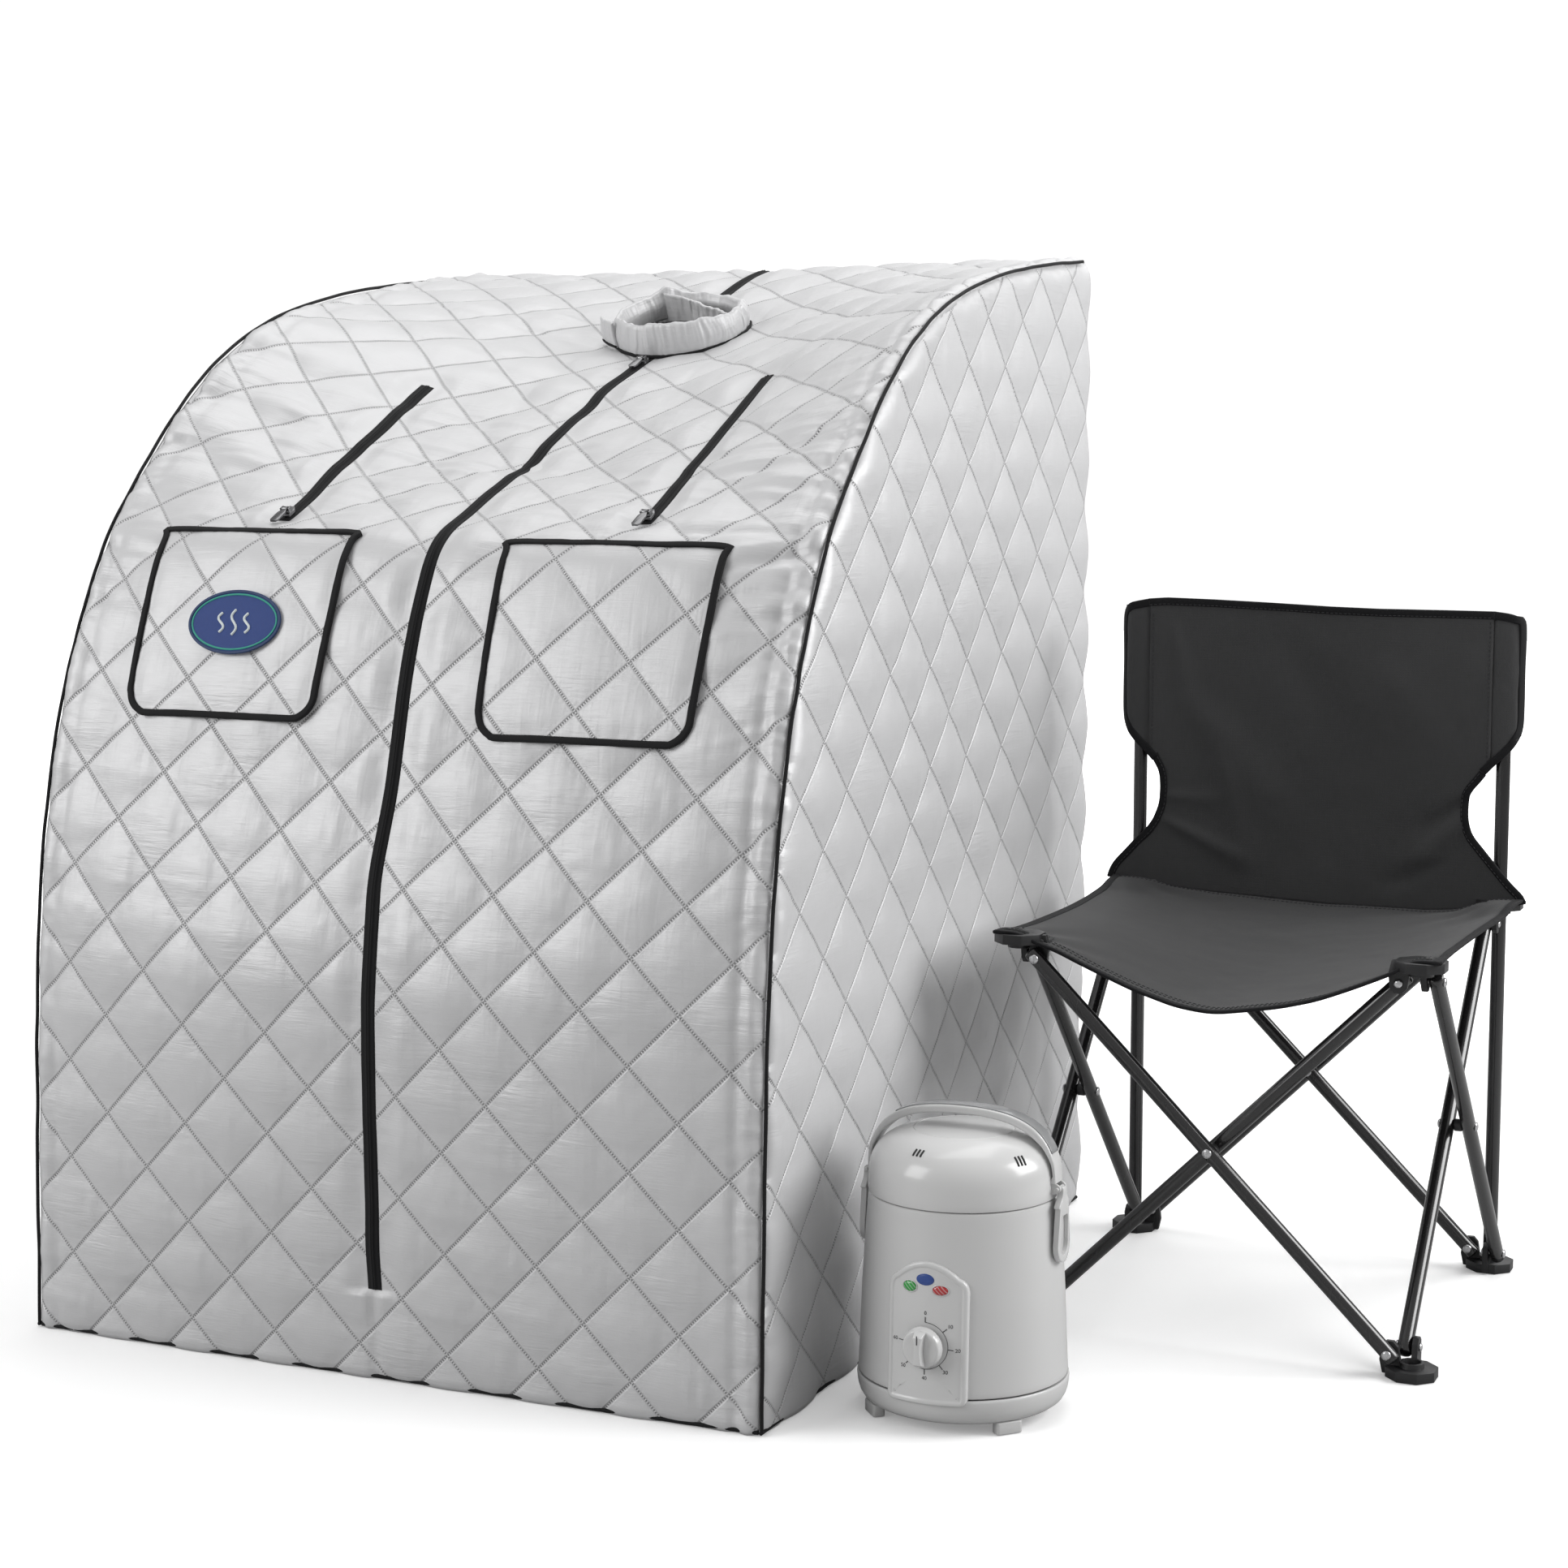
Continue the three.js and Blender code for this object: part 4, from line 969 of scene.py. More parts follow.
side_wall(1, "right", origin=(451.5, 660.7))
side_wall(-1, "left", origin=(430.0, 640.0))
back_wall()
floor_sheet()


# ---------------------------------------------------------------- piping
def seam_path(sign):
    curve = curve_at(SIDE, np.linspace(0.02, LAST, 260))
    normal = inward(curve)
    k = np.arange(len(curve))
    wobble = 0.45 * noise(k / 4.0, 0.5, 91) + 0.35 * noise(k / 1.7, 3.5, 92)
    curve = curve + normal * 2.2 + normal * wobble[:, None] * 0.8
    x = sign * 347.6 + sign * 0.5 * noise(k / 3.1, 7.7, 93)
    path = np.stack([x, curve[:, 0], np.maximum(curve[:, 1], 2.6)], 1)
    return resample(path[::4], 4.0)


def piping():
    for sign, side in SIDES:
        put(tube(f"piping_{side}_seam", seam_path(sign), 1.55, PIPING, sides=12),
            "cabin", f"piping_{side}")
        part = np.linspace(0, 1, 60)
        hem = np.stack([np.full(60, sign * 347.4), 5 + part * 771,
                        2.3 + 0.25 * noise(part * 30, 0.5, 94)], 1)
        put(tube(f"piping_{side}_hem", hem, 1.6, PIPING, sides=10), "cabin")
    x = np.linspace(-344.5, 344.5, 120)
    hem = np.stack([x, skin(x, 0)[:, 1] + 2.2, 2.3 + 0.25 * noise(x / 20, 0.5, 95)], 1)
    put(tube("piping_front_hem", hem, 1.7, PIPING, sides=10), "cabin")


piping()


# ---------------------------------------------------------------- frame rods inside
def rods():
    radius = 4.4
    for sign, side in SIDES:
        x = sign * 331
        path = on_skin(x, np.linspace(0.3, LAST - 1, 30), -17.0)
        y, z = path[-1, 1], path[-1, 2]
        tail = np.array([(x, y + 16, z + 0.5), (x, 757, z - 5), (x, 763, z - 20),
                         (x, 764, z - 60), (x, 764, 500), (x, 764, 250), (x, 764, 14)])
        bow = resample(np.concatenate([path, tail]), 9)
        put(tube(f"rod_bow_{side}", bow, radius, ROD_METAL), "cabin",
            f"frame_bow_{side}")
    for name, y, z in (("crossbar_ridge", 145, 674), ("crossbar_rear_top", 757, 918)):
        bar = [(x, y, z) for x in np.linspace(-323, 323, 30)]
        put(tube(f"rod_{name}", bar, radius, ROD_METAL), "cabin", name)


rods()

# ---------------------------------------------------------------- zips
# zip cross-section: (across, height off the skin), and how far each tooth lifts the point
ZIP_PROFILE = np.array([
    (-6.55, -3.4), (-6.6, -1.95), (-6.3, -1.55), (-4.3, -1.35), (-2.1, -1.4), (-1.75, -0.75),
    (-0.9, -0.45), (-0.25, -0.7), (0, -1.0), (0.25, -0.7), (0.9, -0.45), (1.75, -0.75),
    (2.1, -1.4), (4.3, -1.35), (6.3, -1.55), (6.6, -1.95), (6.55, -3.4)])
ZIP_TEETH = np.array([0, 0, 0, 0, 0, 1, 1.6, 1.2, 0, -1.2, -1.6, -1, 0, 0, 0, 0, 0])


def zip_strip(name, zip_x, first, last, node, wander, seed):
    """zip from station first to last, straying sideways by up to about wander"""
    lengths = column_lengths(zip_x)
    start, end = np.interp([first, last], STATIONS, lengths)
    rows = int((end - start) / (1.1))
    up = np.linspace(start, end, rows)
    station = np.interp(up, lengths, STATIONS)
    tooth = np.where(np.arange(rows) % 2 == 0, 0.14, -0.14)
    stray = wander * noise(up / 85, 0.5, seed) + 0.35 * wander * noise(up / 38, 4.5, seed + 1)
    stray = stray * smooth(0, 40, up - start) * smooth(0, 40, end - up)
    lift = 0.35 * noise(up / 30, 1.5, seed + 2)
    x = zip_x + stray[:, None] + ZIP_PROFILE[None, :, 0]
    height = (ZIP_PROFILE[None, :, 1] + tooth[:, None] * ZIP_TEETH[None] + lift[:, None]
              + roof_wave(x, up[:, None]))
    count = len(ZIP_PROFILE)
    faces = [(a, d, c, b) for a, b, c, d in ring_quads(rows, count)]
    faces += [cap[::-1] for cap in end_caps(rows, count)]
    obj = build(name, on_skin(x, station[:, None], height), faces, TAPE,
                tape_uv(ZIP_PROFILE[:, 0], up))
    put(face_out(obj), "cabin", node)


def zips():
    zip_strip("zip_front", 0.0, 1.24, 19.18, "main_zip_tape", wander=2.2, seed=101)
    zip_strip("zip_rear", 0.0, 21.04, 23.9, "rear_zip_tape", wander=0.3, seed=104)
    for side, wander, seed in (("left", 2.8, 107), ("right", 1.6, 110)):
        zip_strip(f"zip_{side}_arm", ARM_ZIPS[side], 12.54, 17.28, f"{side}_arm_zip_tape",
                  wander, seed)
    for zip_name in ("main", "left_arm", "right_arm"):
        for part in ("slider", "pull"):
            soften(f"{zip_name}_zip_{part}", f"{zip_name}_zip_metal_{part}", CHROME,
                   width=0.35)


zips()


# ---------------------------------------------------------------- pockets
def pocket(side, left, right, low, high, seed, phase):
    """patch pocket between stations low and high, with a bound edge and round lower corners"""
    middle = (left + right) / 2
    start = float(length_at(middle, low))
    width, height = right - left, float(length_at(middle, high)) - start
    corner = 21.0
    # outline (across, up), clockwise from the top left
    ring = [(0.5, height), (width * 0.33, height + 0.8), (width * 0.66, height + 0.4),
            (width - 0.5, height), (width, height - 12), (width - 1.0, height * 0.5),
            (width - 3.0, corner + 6)]
    ring += [(width - 3 - corner * (1 - cos(a)), corner - corner * sin(a))
             for a in np.linspace(0.15, pi / 2 - 0.1, 5)]
    ring += [(width * 0.66, 0.2), (width * 0.33, 0.6)]
    ring += [(3 + corner * (1 - sin(a)), corner - corner * cos(a))
             for a in np.linspace(0.1, pi / 2 - 0.15, 5)]
    ring += [(2.0, corner + 6), (1.0, height * 0.5), (0.0, height - 12)]

    def place(across, up, lift):
        station = np.interp(up + start, column_lengths(middle), STATIONS)
        return on_skin(left + across, station, lift)

    # rows stretched between the left and the right outline
    rows = height * np.linspace(0, 1, int(height / GRID) + 1)
    levels = [0, 3, 9, 17, 27, height * 0.5, height - 12, height]
    row_left = np.interp(rows, levels, [24, 12, 6.5, 3.6, 2.0, 1.0, 0.0, 0.5])[None]
    row_right = width - np.interp(rows, levels, [24, 13, 7.5, 4.6, 3.0, 1.0, 0.0, 0.5])[None]
    part = np.linspace(0, 1, int(width / GRID) + 1)[:, None]
    across = row_left + (row_right - row_left) * part
    up = np.broadcast_to(rows, across.shape)
    lay = lay_uv(across, up, origin=phase)
    to_side = np.minimum(across - row_left, row_right - across)
    to_end = np.minimum(up, height - up)
    edge = np.minimum(to_side, to_end)
    pad = puff(lay, 2.7) * (0.25 + 0.75 * smooth(1, 18, edge))
    pucker = noise(np.where(to_end < to_side, across, up) / 6.0, edge / 50, seed)
    pucker = pucker * np.exp(-edge / 16) * 0.6 * smooth(0, 7, edge)
    # the mouth stands off a little
    mouth = 1.6 * bell(across - width * 0.42, width * 0.28) * smooth(0.45, 1.0, up / height)
    lift = 3.0 + pad + pucker + mouth + 0.8 * fbm(across / 80, up / 70, seed + 3, 2)
    name = f"pocket_{side}"
    put(sheet(name, place(across, up, lift), place(across, up, 1.1), SATIN, lay),
        "cabin", f"{side}_pocket")
    rim = resample([(a, b, 0) for a, b in ring], 3.0, closed=True)
    k = np.arange(len(rim))
    lift = 3.9 + 0.25 * noise(k / 4.0, 0.5, seed + 5)
    path = place(rim[:, 0], rim[:, 1], lift)
    normal = unit(place(rim[:, 0], rim[:, 1], lift + 2) - path)
    put(sweep(name + "_binding", path, rounded_box(2.9, -2.4, 1.9, 1.6, 4), PIPING, up=normal,
              closed=True, scale=1 + 0.06 * noise(k / 3.0, 2.5, seed + 6)),
        "cabin")


pocket("left", -272, -79, 8.14, 11.8, seed=131, phase=(60, 32))
pocket("right", 74, 268, 8.0, 11.5, seed=141, phase=(48, 66))


# ---------------------------------------------------------------- badge
def disc_segments(rings, count):
    """faces of a disc (centre, rings, base centre), per segment: top, sides, base"""
    last_ring, base = 1 + (rings - 1) * count, 1 + rings * count
    for k in range(count):
        turn = (k + 1) % count
        starts = [1 + r * count for r in range(rings)]
        sides = [(a + k, b + k, b + turn, a + turn) for a, b in zip(starts, starts[1:])]
        yield (0, 1 + k, 1 + turn), sides, (base, last_ring + turn, last_ring + k)


def badge_cloth():
    mat = Mat("badge_thread", rough=0.55)
    lay, across, _ = mat.lay()
    thread = mat.math("SINE", across * (2 * pi / 0.0007))
    streak = mat.noise(lay, stretch=(1600, 220, 1))
    mat.set(Base_Color=mat.mix(streak, (0.003, 0.028, 0.17), (0.006, 0.055, 0.29)),
            Sheen_Weight=0.3, Normal=mat.bump(thread + streak, mm=0.22, strength=0.6))
    return mat.material


def badge_edge():
    mat = Mat("badge_edge", rough=0.6)
    grain = mat.noise(mat.co, stretch=(900, 900, 900))
    mat.set(Base_Color=mat.mix(grain, (0.004, 0.018, 0.07), (0.012, 0.045, 0.15)),
            Normal=mat.bump(grain, mm=0.25, strength=0.6))
    return mat.material


def badge():
    """embroidered oval patch with a plain ring and three upright waves"""
    x, station = -171.0, 9.6
    centre = on_skin(x, station, 7.0)
    up = unit(skin(x, station + 0.3) - skin(x, station - 0.3))
    normal = skin_normal(x, station)

    def place(across, rise, lift):
        across, rise, lift = np.broadcast_arrays(across, rise, lift)
        return (centre + np.array([1.0, 0, 0]) * across[..., None] + up * rise[..., None]
                + normal * lift[..., None])

    cloth = badge_cloth()
    pale = speckled("badge_ring", 0.5, 1500.0, (0.55, 0.62, 0.62), (0.78, 0.82, 0.82), 0.2)
    green = speckled("badge_ring_green", 0.55, 1500.0, (0.01, 0.22, 0.16), (0.03, 0.38, 0.27), 0.2)
    navy = badge_edge()
    # (scale, lift) of the patch's rings
    rings = [(0.35, 1.7), (0.7, 1.65), (0.88, 1.5), (0.96, 1.4), (1.0, 0.9), (1.0, 0.1),
             (0.9, 0.0)]
    verts, lay = [place(0.0, 0.0, 1.7)], [np.zeros((1, 2))]
    for scale, lift in rings:
        oval = circle(45.2 * scale, 72, 27.4 * scale)
        verts.extend(place(oval[:, 0], oval[:, 1], lift))
        lay.append(oval / 1000)
    verts.append(place(0.0, 0.0, 0.0))
    lay.append(np.zeros((1, 2)))
    faces = []
    for top, sides, base in disc_segments(len(rings), 72):
        faces += [top, base, *sides]
    put(face_out(build("badge_patch", verts, faces, cloth, np.concatenate(lay))),
        "cabin", "badge")
    for name, half_width, half_height, lift, profile, mat in (
            ("edge", 45.0, 27.2, 1.1, rounded_box(1.3, -0.9, 0.9, 0.7, 4), navy),
            ("ring", 42.2, 24.4, 1.6, circle(0.85, 10, 0.5), green)):
        oval = circle(half_width, 140, half_height)
        put(sweep(f"badge_{name}_stitching", place(oval[:, 0], oval[:, 1], lift), profile, mat,
                  up=normal, closed=True), "cabin")
    waves = []
    for across, low, height in ((-13, -9.5, 17), (0, -11.5, 22), (13, -9.5, 17)):
        part = np.linspace(0, 1, 30)
        path = place(across + 3.2 * np.sin(part * 2 * pi), low + height * part, 1.85)
        waves.append(tube("part", path, 1.15, pale, sides=10, up=normal))
    put(merge("badge_steam_waves", waves), "cabin")


badge()


# ---------------------------------------------------------------- collar
def round_neck(radius, angle, z):
    """points round the neck opening; angle 0 is the right, a quarter turn the rear"""
    return neck_world(np.stack([radius * np.cos(angle), radius * np.sin(angle),
                                z + 0 * angle], -1))


def ring_noise(angle, scale, offset, seed, rise=0.0):
    """noise that closes up round the neck"""
    return noise(np.cos(angle) * scale + offset, np.sin(angle) * scale + offset + rise, seed)


def collar_band():
    count = 420
    angle, up = np.meshgrid(np.arange(count) / count * 2 * pi, np.linspace(0, 1, 13),
                            indexing="ij")
    front = (1 - np.sin(angle)) / 2        # 1 at the front
    lean = angle + 0.05 * noise(angle * 5, up * 2, 215)
    gather = (0.7 * ring_noise(lean, 9, 20, 201, up * 0.6)
              + 0.45 * ring_noise(lean, 19, 40, 202, up * 0.9)
              + 0.3 * ring_noise(lean, 36, 60, 212, up * 1.3))
    height = (20 + 12.0 * front + 1.5 * ring_noise(angle, 4, 9, 203)
              + 0.7 * ring_noise(angle, 14, 9, 213))
    # the left rear stands up in a soft peak and the right rear folds down
    height = height + 11 * np.exp(-np.abs((angle - 2.2) / 0.30) ** 1.3)
    height = height - 3.0 * bell(angle - 0.9, 0.4)
    swell = np.sin(up * pi)
    outer = (64.0 + swell * 2.1 + gather * (0.9 + 0.5 * swell) - 1.5 * up
             + 2.5 * front * (1 - up) * 0.4)
    inner = (58.5 - swell * 2.1 * 0.6 + 3.2 * smooth(0.55, 1.0, up)
             + gather * 0.8 * (0.3 + 0.7 * up)
             - 4.5 * up * (1 - front) * (0.5 + 0.5 * np.sin(3 * angle)) - 2.0 * up)
    z = -0.5 + up * height
    lay = np.stack([angle * 64 / 84, z / 84], -1)
    outer[:, -1] *= 0.985
    put(sheet("collar_band", round_neck(outer, angle, z), round_neck(inner, angle, z - 0.6 * up),
              SATIN_PLAIN, lay, loop=True), "cabin", "neck_collar")


def collar_fold():
    """fold of cloth inside the collar, round the rear of the opening"""
    part, up = np.meshgrid(np.linspace(0, 1, 90), np.linspace(0, 1, 16), indexing="ij")
    angle = 2.28 - part * 1.95
    radius = (57.0 - 20 * np.sin(part * pi) ** 0.9 - 5 * part
              + 1.3 * noise(part * 16, up * 1.5, 205) + 0.8 * noise(part * 34, up * 1.2, 216))
    top = 27 - 16 * part ** 0.8 + 1.2 * noise(part * 7, 0.5, 206)
    z = -3 + up * (top + 3)
    put(sheet("collar_inner_fold", round_neck(radius, angle, z),
              round_neck(radius - 2.6, angle, z), SATIN_PLAIN, np.stack([part, up * 0.3], -1)),
        "cabin")


def collar_seams():
    """black piping from the left front round to the right rear, plain cloth for the rest"""
    angle = np.linspace(radians(205), radians(385), 90)
    path = round_neck(65.6 + 0.8 * noise(angle * 6, 0.5, 207), angle,
                      0.4 + 0.5 * noise(angle * 5, 3.5, 208))
    put(tube("collar_piping", path, 1.7, PIPING, sides=10), "cabin")
    angle = np.linspace(radians(385), radians(565), 90)
    put(tube("collar_seam_rear", round_neck(65.4, angle, 0.2), 1.2, SATIN_PLAIN, sides=8),
        "cabin")


def collar_loose_end():
    part, up = np.meshgrid(np.linspace(0, 1, 60), np.linspace(0, 1, 16), indexing="ij")
    angle = np.radians(198 + part * 24)
    ripple = noise(part * 7, up * 0.8, 209) * 0.7 + 0.55 * noise(part * 15, up * 0.9, 217)
    stand_off = 10 * (1 - part)
    radius = 68.5 + stand_off + ripple + 0.9 * np.sin(up * pi)
    z = 2.9 + up * (24.8 + 0.9 * noise(part * 5, 0.5, 210))
    put(sheet("collar_loose_end", round_neck(radius, angle, z),
              round_neck(radius - 2.9, angle, z), SATIN_PLAIN,
              np.stack([part * 0.4, up * 0.35], -1)), "flap", "collar_flap")
    path = round_neck(68.8 + stand_off[:, 0], angle[:, 0], 4.1)
    put(tube("collar_loose_end_piping", path, 1.3, PIPING, sides=10), "flap")


collar_band()
collar_fold()
collar_seams()
collar_loose_end()

# ---------------------------------------------------------------- steam generator: drum
GEN_X, GEN_Y = 463.0, 142.0        # its axis
# drum wall: (z, radius)
WALL = np.array([(30.4, 84), (50, 83), (100, 81), (140, 78.6), (176, 76)], float)
BASE_RING = [
    (0, 8), (68, 8), (72, 8.3), (77, 9.3), (80.4, 11.8), (82.6, 15.5), (83.9, 19.5), (84.6, 24),
    (84.9, 27.5), (84.7, 29.2), (84.0, 30.0), (81.6, 30.0), (80.6, 28), (80.4, 23), (79, 17),
    (76, 13), (0, 12)]
# lid: smooth dome with a fine step round its middle, from the rim to the centre, then its inside
LID_TOP = [
    (75.0, 176.6), (76.0, 177.2), (76.35, 178.6), (76.3, 184), (76.1, 190), (75.7, 195),
    (74.8, 200), (73.4, 204.6), (71.2, 209), (68.2, 213.2), (64.0, 217.2), (58.5, 220.8),
    (52.0, 223.6), (44, 225.6), (40.6, 226.3), (40.0, 225.9), (39.2, 226.5), (32, 227.6),
    (20, 228.2), (8, 228.4), (0, 228.4)]
LID_INSIDE = [(0, 225.2), (31.5, 224.2), (53.6, 220.2), (64.6, 213.4), (70.6, 203.4), (73, 190),
              (73.2, 176.6)]
POT = [
    (0, 40), (52, 40), (55.5, 40.7), (57.4, 42.6), (58, 46), (58, 167), (58.6, 168.6), (60, 169),
    (68.4, 169), (69, 169.6), (69, 170.6), (68.4, 171), (58.4, 171), (57, 170.2), (56.5, 168.6),
    (56.5, 46.4), (55.8, 43.4), (53.6, 41.9), (51, 41.6), (0, 41.6)]


def upright(x, y, z):
    """places a turned point on the generator's axis"""
    return GEN_X + x, GEN_Y + y, z


def lathe(name, profile, mat, place=upright, count=96, sharp=35):
    """profile [(radius, height)] turned about an axis; points on the axis become poles and a
    profile that starts and ends off the axis is closed"""
    profile = np.asarray(profile, float)
    rings, verts, faces = [], [], []
    for radius, height in profile:
        if radius < 1e-6:
            rings.append([len(verts)])
            verts.append(place(0, 0, height))
        else:
            rings.append(list(range(len(verts), len(verts) + count)))
            verts += [place(radius * cos(a), radius * sin(a), height)
                      for a in np.arange(count) / count * 2 * pi]
    closed = profile[0][0] > 1e-6 and profile[-1][0] > 1e-6
    for i in range(len(rings) if closed else len(rings) - 1):
        here, after = rings[i], rings[(i + 1) % len(rings)]
        if len(here) == 1 and len(after) == 1:
            continue
        for k in range(count):
            turn = (k + 1) % count
            if len(here) == 1:
                faces.append((here[0], after[k], after[turn]))
            elif len(after) == 1:
                faces.append((here[turn], here[k], after[0]))
            else:
                faces.append((here[k], after[k], after[turn], here[turn]))
    return face_out(build(name, verts, faces, mat, sharp=sharp))


def drum():
    z = np.concatenate([[31.0, 31.6, 32.6], np.linspace(36, 170, 28), [173.5, 175.2, 176.0]])
    radius = lookup(WALL, z)
    # rounded lips
    radius[[0, 1, -2, -1]] -= [1.2, 0.35, 0.25, 1.2]
    inside = [(73.2, 176.0), (73.0, 172), (75.6, 140), (78, 100), (80, 50), (80.4, 36), (0, 34),
              (0, 31)]
    put(lathe("generator_body", [*zip(radius, z), *inside], WHITE),
        "steamer", "steamer_body")
    put(lathe("generator_base_ring", BASE_RING, WHITE),
        "steamer", "steamer_base")
    for i, degrees in enumerate((48, 132, 228, 312)):
        turn = radians(degrees)

        def place(across, out, z):
            return (GEN_X + 75 * sin(turn) + across * cos(turn) - out * sin(turn),
                    GEN_Y - 75 * cos(turn) + across * sin(turn) + out * cos(turn), z)

        put(prism(f"generator_foot_{i}", rounded_box(11, -5, 5, 2.5, 5), place, (0.0, 9.8), WHITE,
                  bevel=0.9), "steamer")


# ---------------------------------------------------------------- steam generator: lid
CHEEK = [(74.2, 180.8), (80.5, 182.4), (83.0, 184.4), (83.0, 187.6), (80.5, 189.6), (74.2, 191.0)]


def lid_point(x, y, lift):
    """a point on the lid's top, x and y from the axis"""
    dome = np.array(LID_TOP[::-1])
    radius = hypot(x, y)
    slope = lookup(dome, radius + 0.5) - lookup(dome, radius - 0.5)
    normal = unit([-slope * x / radius, -slope * y / radius, 1])
    return np.array([GEN_X + x, GEN_Y + y, lookup(dome, radius)]) + normal * lift


def lid():
    put(lathe("generator_lid", LID_TOP + LID_INSIDE, GLOSS, count=112, sharp=28),
        "lid", "steamer_lid")
    # hinge pins of the clips and the cheeks that carry them
    for sign, side in SIDES:
        pin = [(GEN_X + sign * 80.6, GEN_Y + y, 186) for y in np.linspace(-9.6, 9.6, 8)]
        put(tube(f"generator_clip_pin_{side}", pin, 1.55, WHITE), "lid")
        for k, y in enumerate((-6.4, 6.4)):
            def place(out, z, along):
                return GEN_X + sign * out, GEN_Y + y + along, z

            put(prism(f"generator_clip_cheek_{side}_{k}", rounded(CHEEK, 1.4, 4), place,
                      (-1.3, 1.3), WHITE, bevel=0.35), "lid")
    # two groups of three short dark bars lying on the lid
    vent = Mat("vent_dark", rough=0.7, color=(0.02, 0.02, 0.021))
    vent.set(Normal=vent.bump(vent.noise(vent.co, scale=400.0), mm=0.1, strength=0.5))
    for group, centre in enumerate(((-15, -61), (59, -34))):
        outward = unit(centre)
        tangent = np.array([-outward[1], outward[0]])
        for k in (-1, 0, 1):
            middle = centre + tangent * (k * 3.4)
            line = [lid_point(*(middle + outward * d), 0.05) for d in np.linspace(-2.6, 2.6, 9)]
            put(tube(f"generator_vent_{group}_{k + 1}", line, 0.85, vent.material, sides=10),
                "lid")


# ---------------------------------------------------------------- steam generator: handle
# right half of the arch, (x from the axis, z), from its foot to its top: outside, then inside
HANDLE_OUTER = [(79.3, 196), (77.5, 208), (71, 222), (60, 233), (44, 240.5), (24, 244.3),
                (0, 245.4)]
HANDLE_INNER = [(76.6, 196), (75.4, 204.6), (70.7, 213.6), (66, 219.5), (56, 227.6), (42, 234.3),
                (23, 238), (0, 239.1)]


def arch(half, step):
    """evenly spaced points over a mirrored half arch, left to right"""
    return resample([(-x, 0, z) for x, z in half] + [(x, 0, z) for x, z in half[-2::-1]], step)


def handle():
    """rounded arch with a grey strip let into its top"""
    outer = np.concatenate([[[-79.6, 0, 190.5]], arch(HANDLE_OUTER, 3.0), [[79.6, 0, 190.5]]])
    out, _ = frames(outer, up=unit(outer - np.array([0, 0, 150.0])))
    inner = arch(HANDLE_INNER, 1.0)
    verts = []
    for point, normal in zip(outer, out):
        thick = np.clip(np.min(np.linalg.norm(inner - point, axis=1)), 2.6, 6.6)
        half = 10 - (1 - smooth(0, 30, abs(abs(point[0]) - 79)))
        profile = rounded_box(half, -thick, 0, min(2.2, thick * 0.45), 4)
        for y, lift in profile:
            verts.append((GEN_X + point[0] + normal[0] * lift, GEN_Y + y,
                          point[2] + normal[2] * lift))
    rings, count = len(outer), len(profile)
    faces = ring_quads(rings, count) + end_caps(rings, count)
    put(face_out(build("generator_handle", verts, faces, GLOSS, sharp=50)),
        "lid", "steamer_handle")
    grey = speckled("handle_strip", 0.25, 120.0, (0.27, 0.275, 0.28), (0.35, 0.355, 0.36),
                    Transmission_Weight=0.15, Coat_Weight=0.4)
    on_top = (outer[:, 0] > -58) & (outer[:, 0] < 78.5) & (outer[:, 2] > 212)
    path, up = outer[on_top], out[on_top]
    path = path + up * 0.25
    path[:, 0] += GEN_X
    path[:, 1] = GEN_Y
    put(sweep("generator_handle_strip", path, rounded_box(7.2, -0.8, 0.7, 0.6, 4), grey, up=up),
        "lid")


# ---------------------------------------------------------------- steam generator: side clips
CLIP_HALF, CLIP_LOW = 14.5, 141    # half width, and height of the lower round's centre


def lower_round(radius, count):
    return [(radius * cos(a), CLIP_LOW + radius * sin(a)) for a in np.linspace(pi, 2 * pi, count)]


def clip_window(half, shoulder, top):
    return lower_round(half, 17) + [(half, 160), (7.4, shoulder), (5, top), (-5, top),
                                    (-7.4, shoulder), (-half, 160)]


def clip(sign, side):
    """long loop with a sunken window and three ribs"""
    outline = lower_round(CLIP_HALF, 25) + [tuple(p) for p in rounded(
        [(CLIP_HALF, 171), (4.6, 180), (4.4, 187.2), (-4.4, 187.2), (-4.6, 180),
         (-CLIP_HALF, 171)], 4.5, 6)]

    def place(across, z, out):
        # only the outer face is bowed
        bow = 0.9 * cos((across / CLIP_HALF) * 1.2) if out > 2 else 0
        return GEN_X + sign * (79.5 + out + bow), GEN_Y + across, z

    body = f"clip_{side}"
    put(prism(f"generator_clip_{side}", outline, place, (0.0, 4.2), GLOSS, bevel=1.1,
              holes=[clip_window(8.6, 163, 164)]), body, f"latch_{side}")
    put(prism(f"generator_clip_window_{side}", clip_window(8.9, 163.6, 164.4), place, (0.3, 1.5),
              WHITE, bevel=0.3, segments=2), body)
    for k in range(3):
        rib = [(GEN_X + sign * 83.2, GEN_Y + y, 175.0 - 3.0 * k)
               for y in np.linspace(-6.5, 6.5, 12)]
        put(tube(f"generator_clip_rib_{side}_{k}", rib, 0.7, GLOSS, sides=10),
            body)


# ---------------------------------------------------------------- steam generator: fascia
# arched outline (x, z) from (-27, 26): each bend's control point, end and point count
ARCH_START = (-27, 26)
ARCH = [
    ((0, 26), (27, 26), 20), ((33, 26), (33, 33), 8), ((33, 74), (33, 114), 26),
    ((33, 123), (26, 126), 8), ((14, 137.5), (0, 138), 14), ((-14, 137.5), (-26, 126), 14),
    ((-33, 123), (-33, 114), 8), ((-33, 74), (-33, 33), 26), ((-33, 26), (-27, 26), 8)]
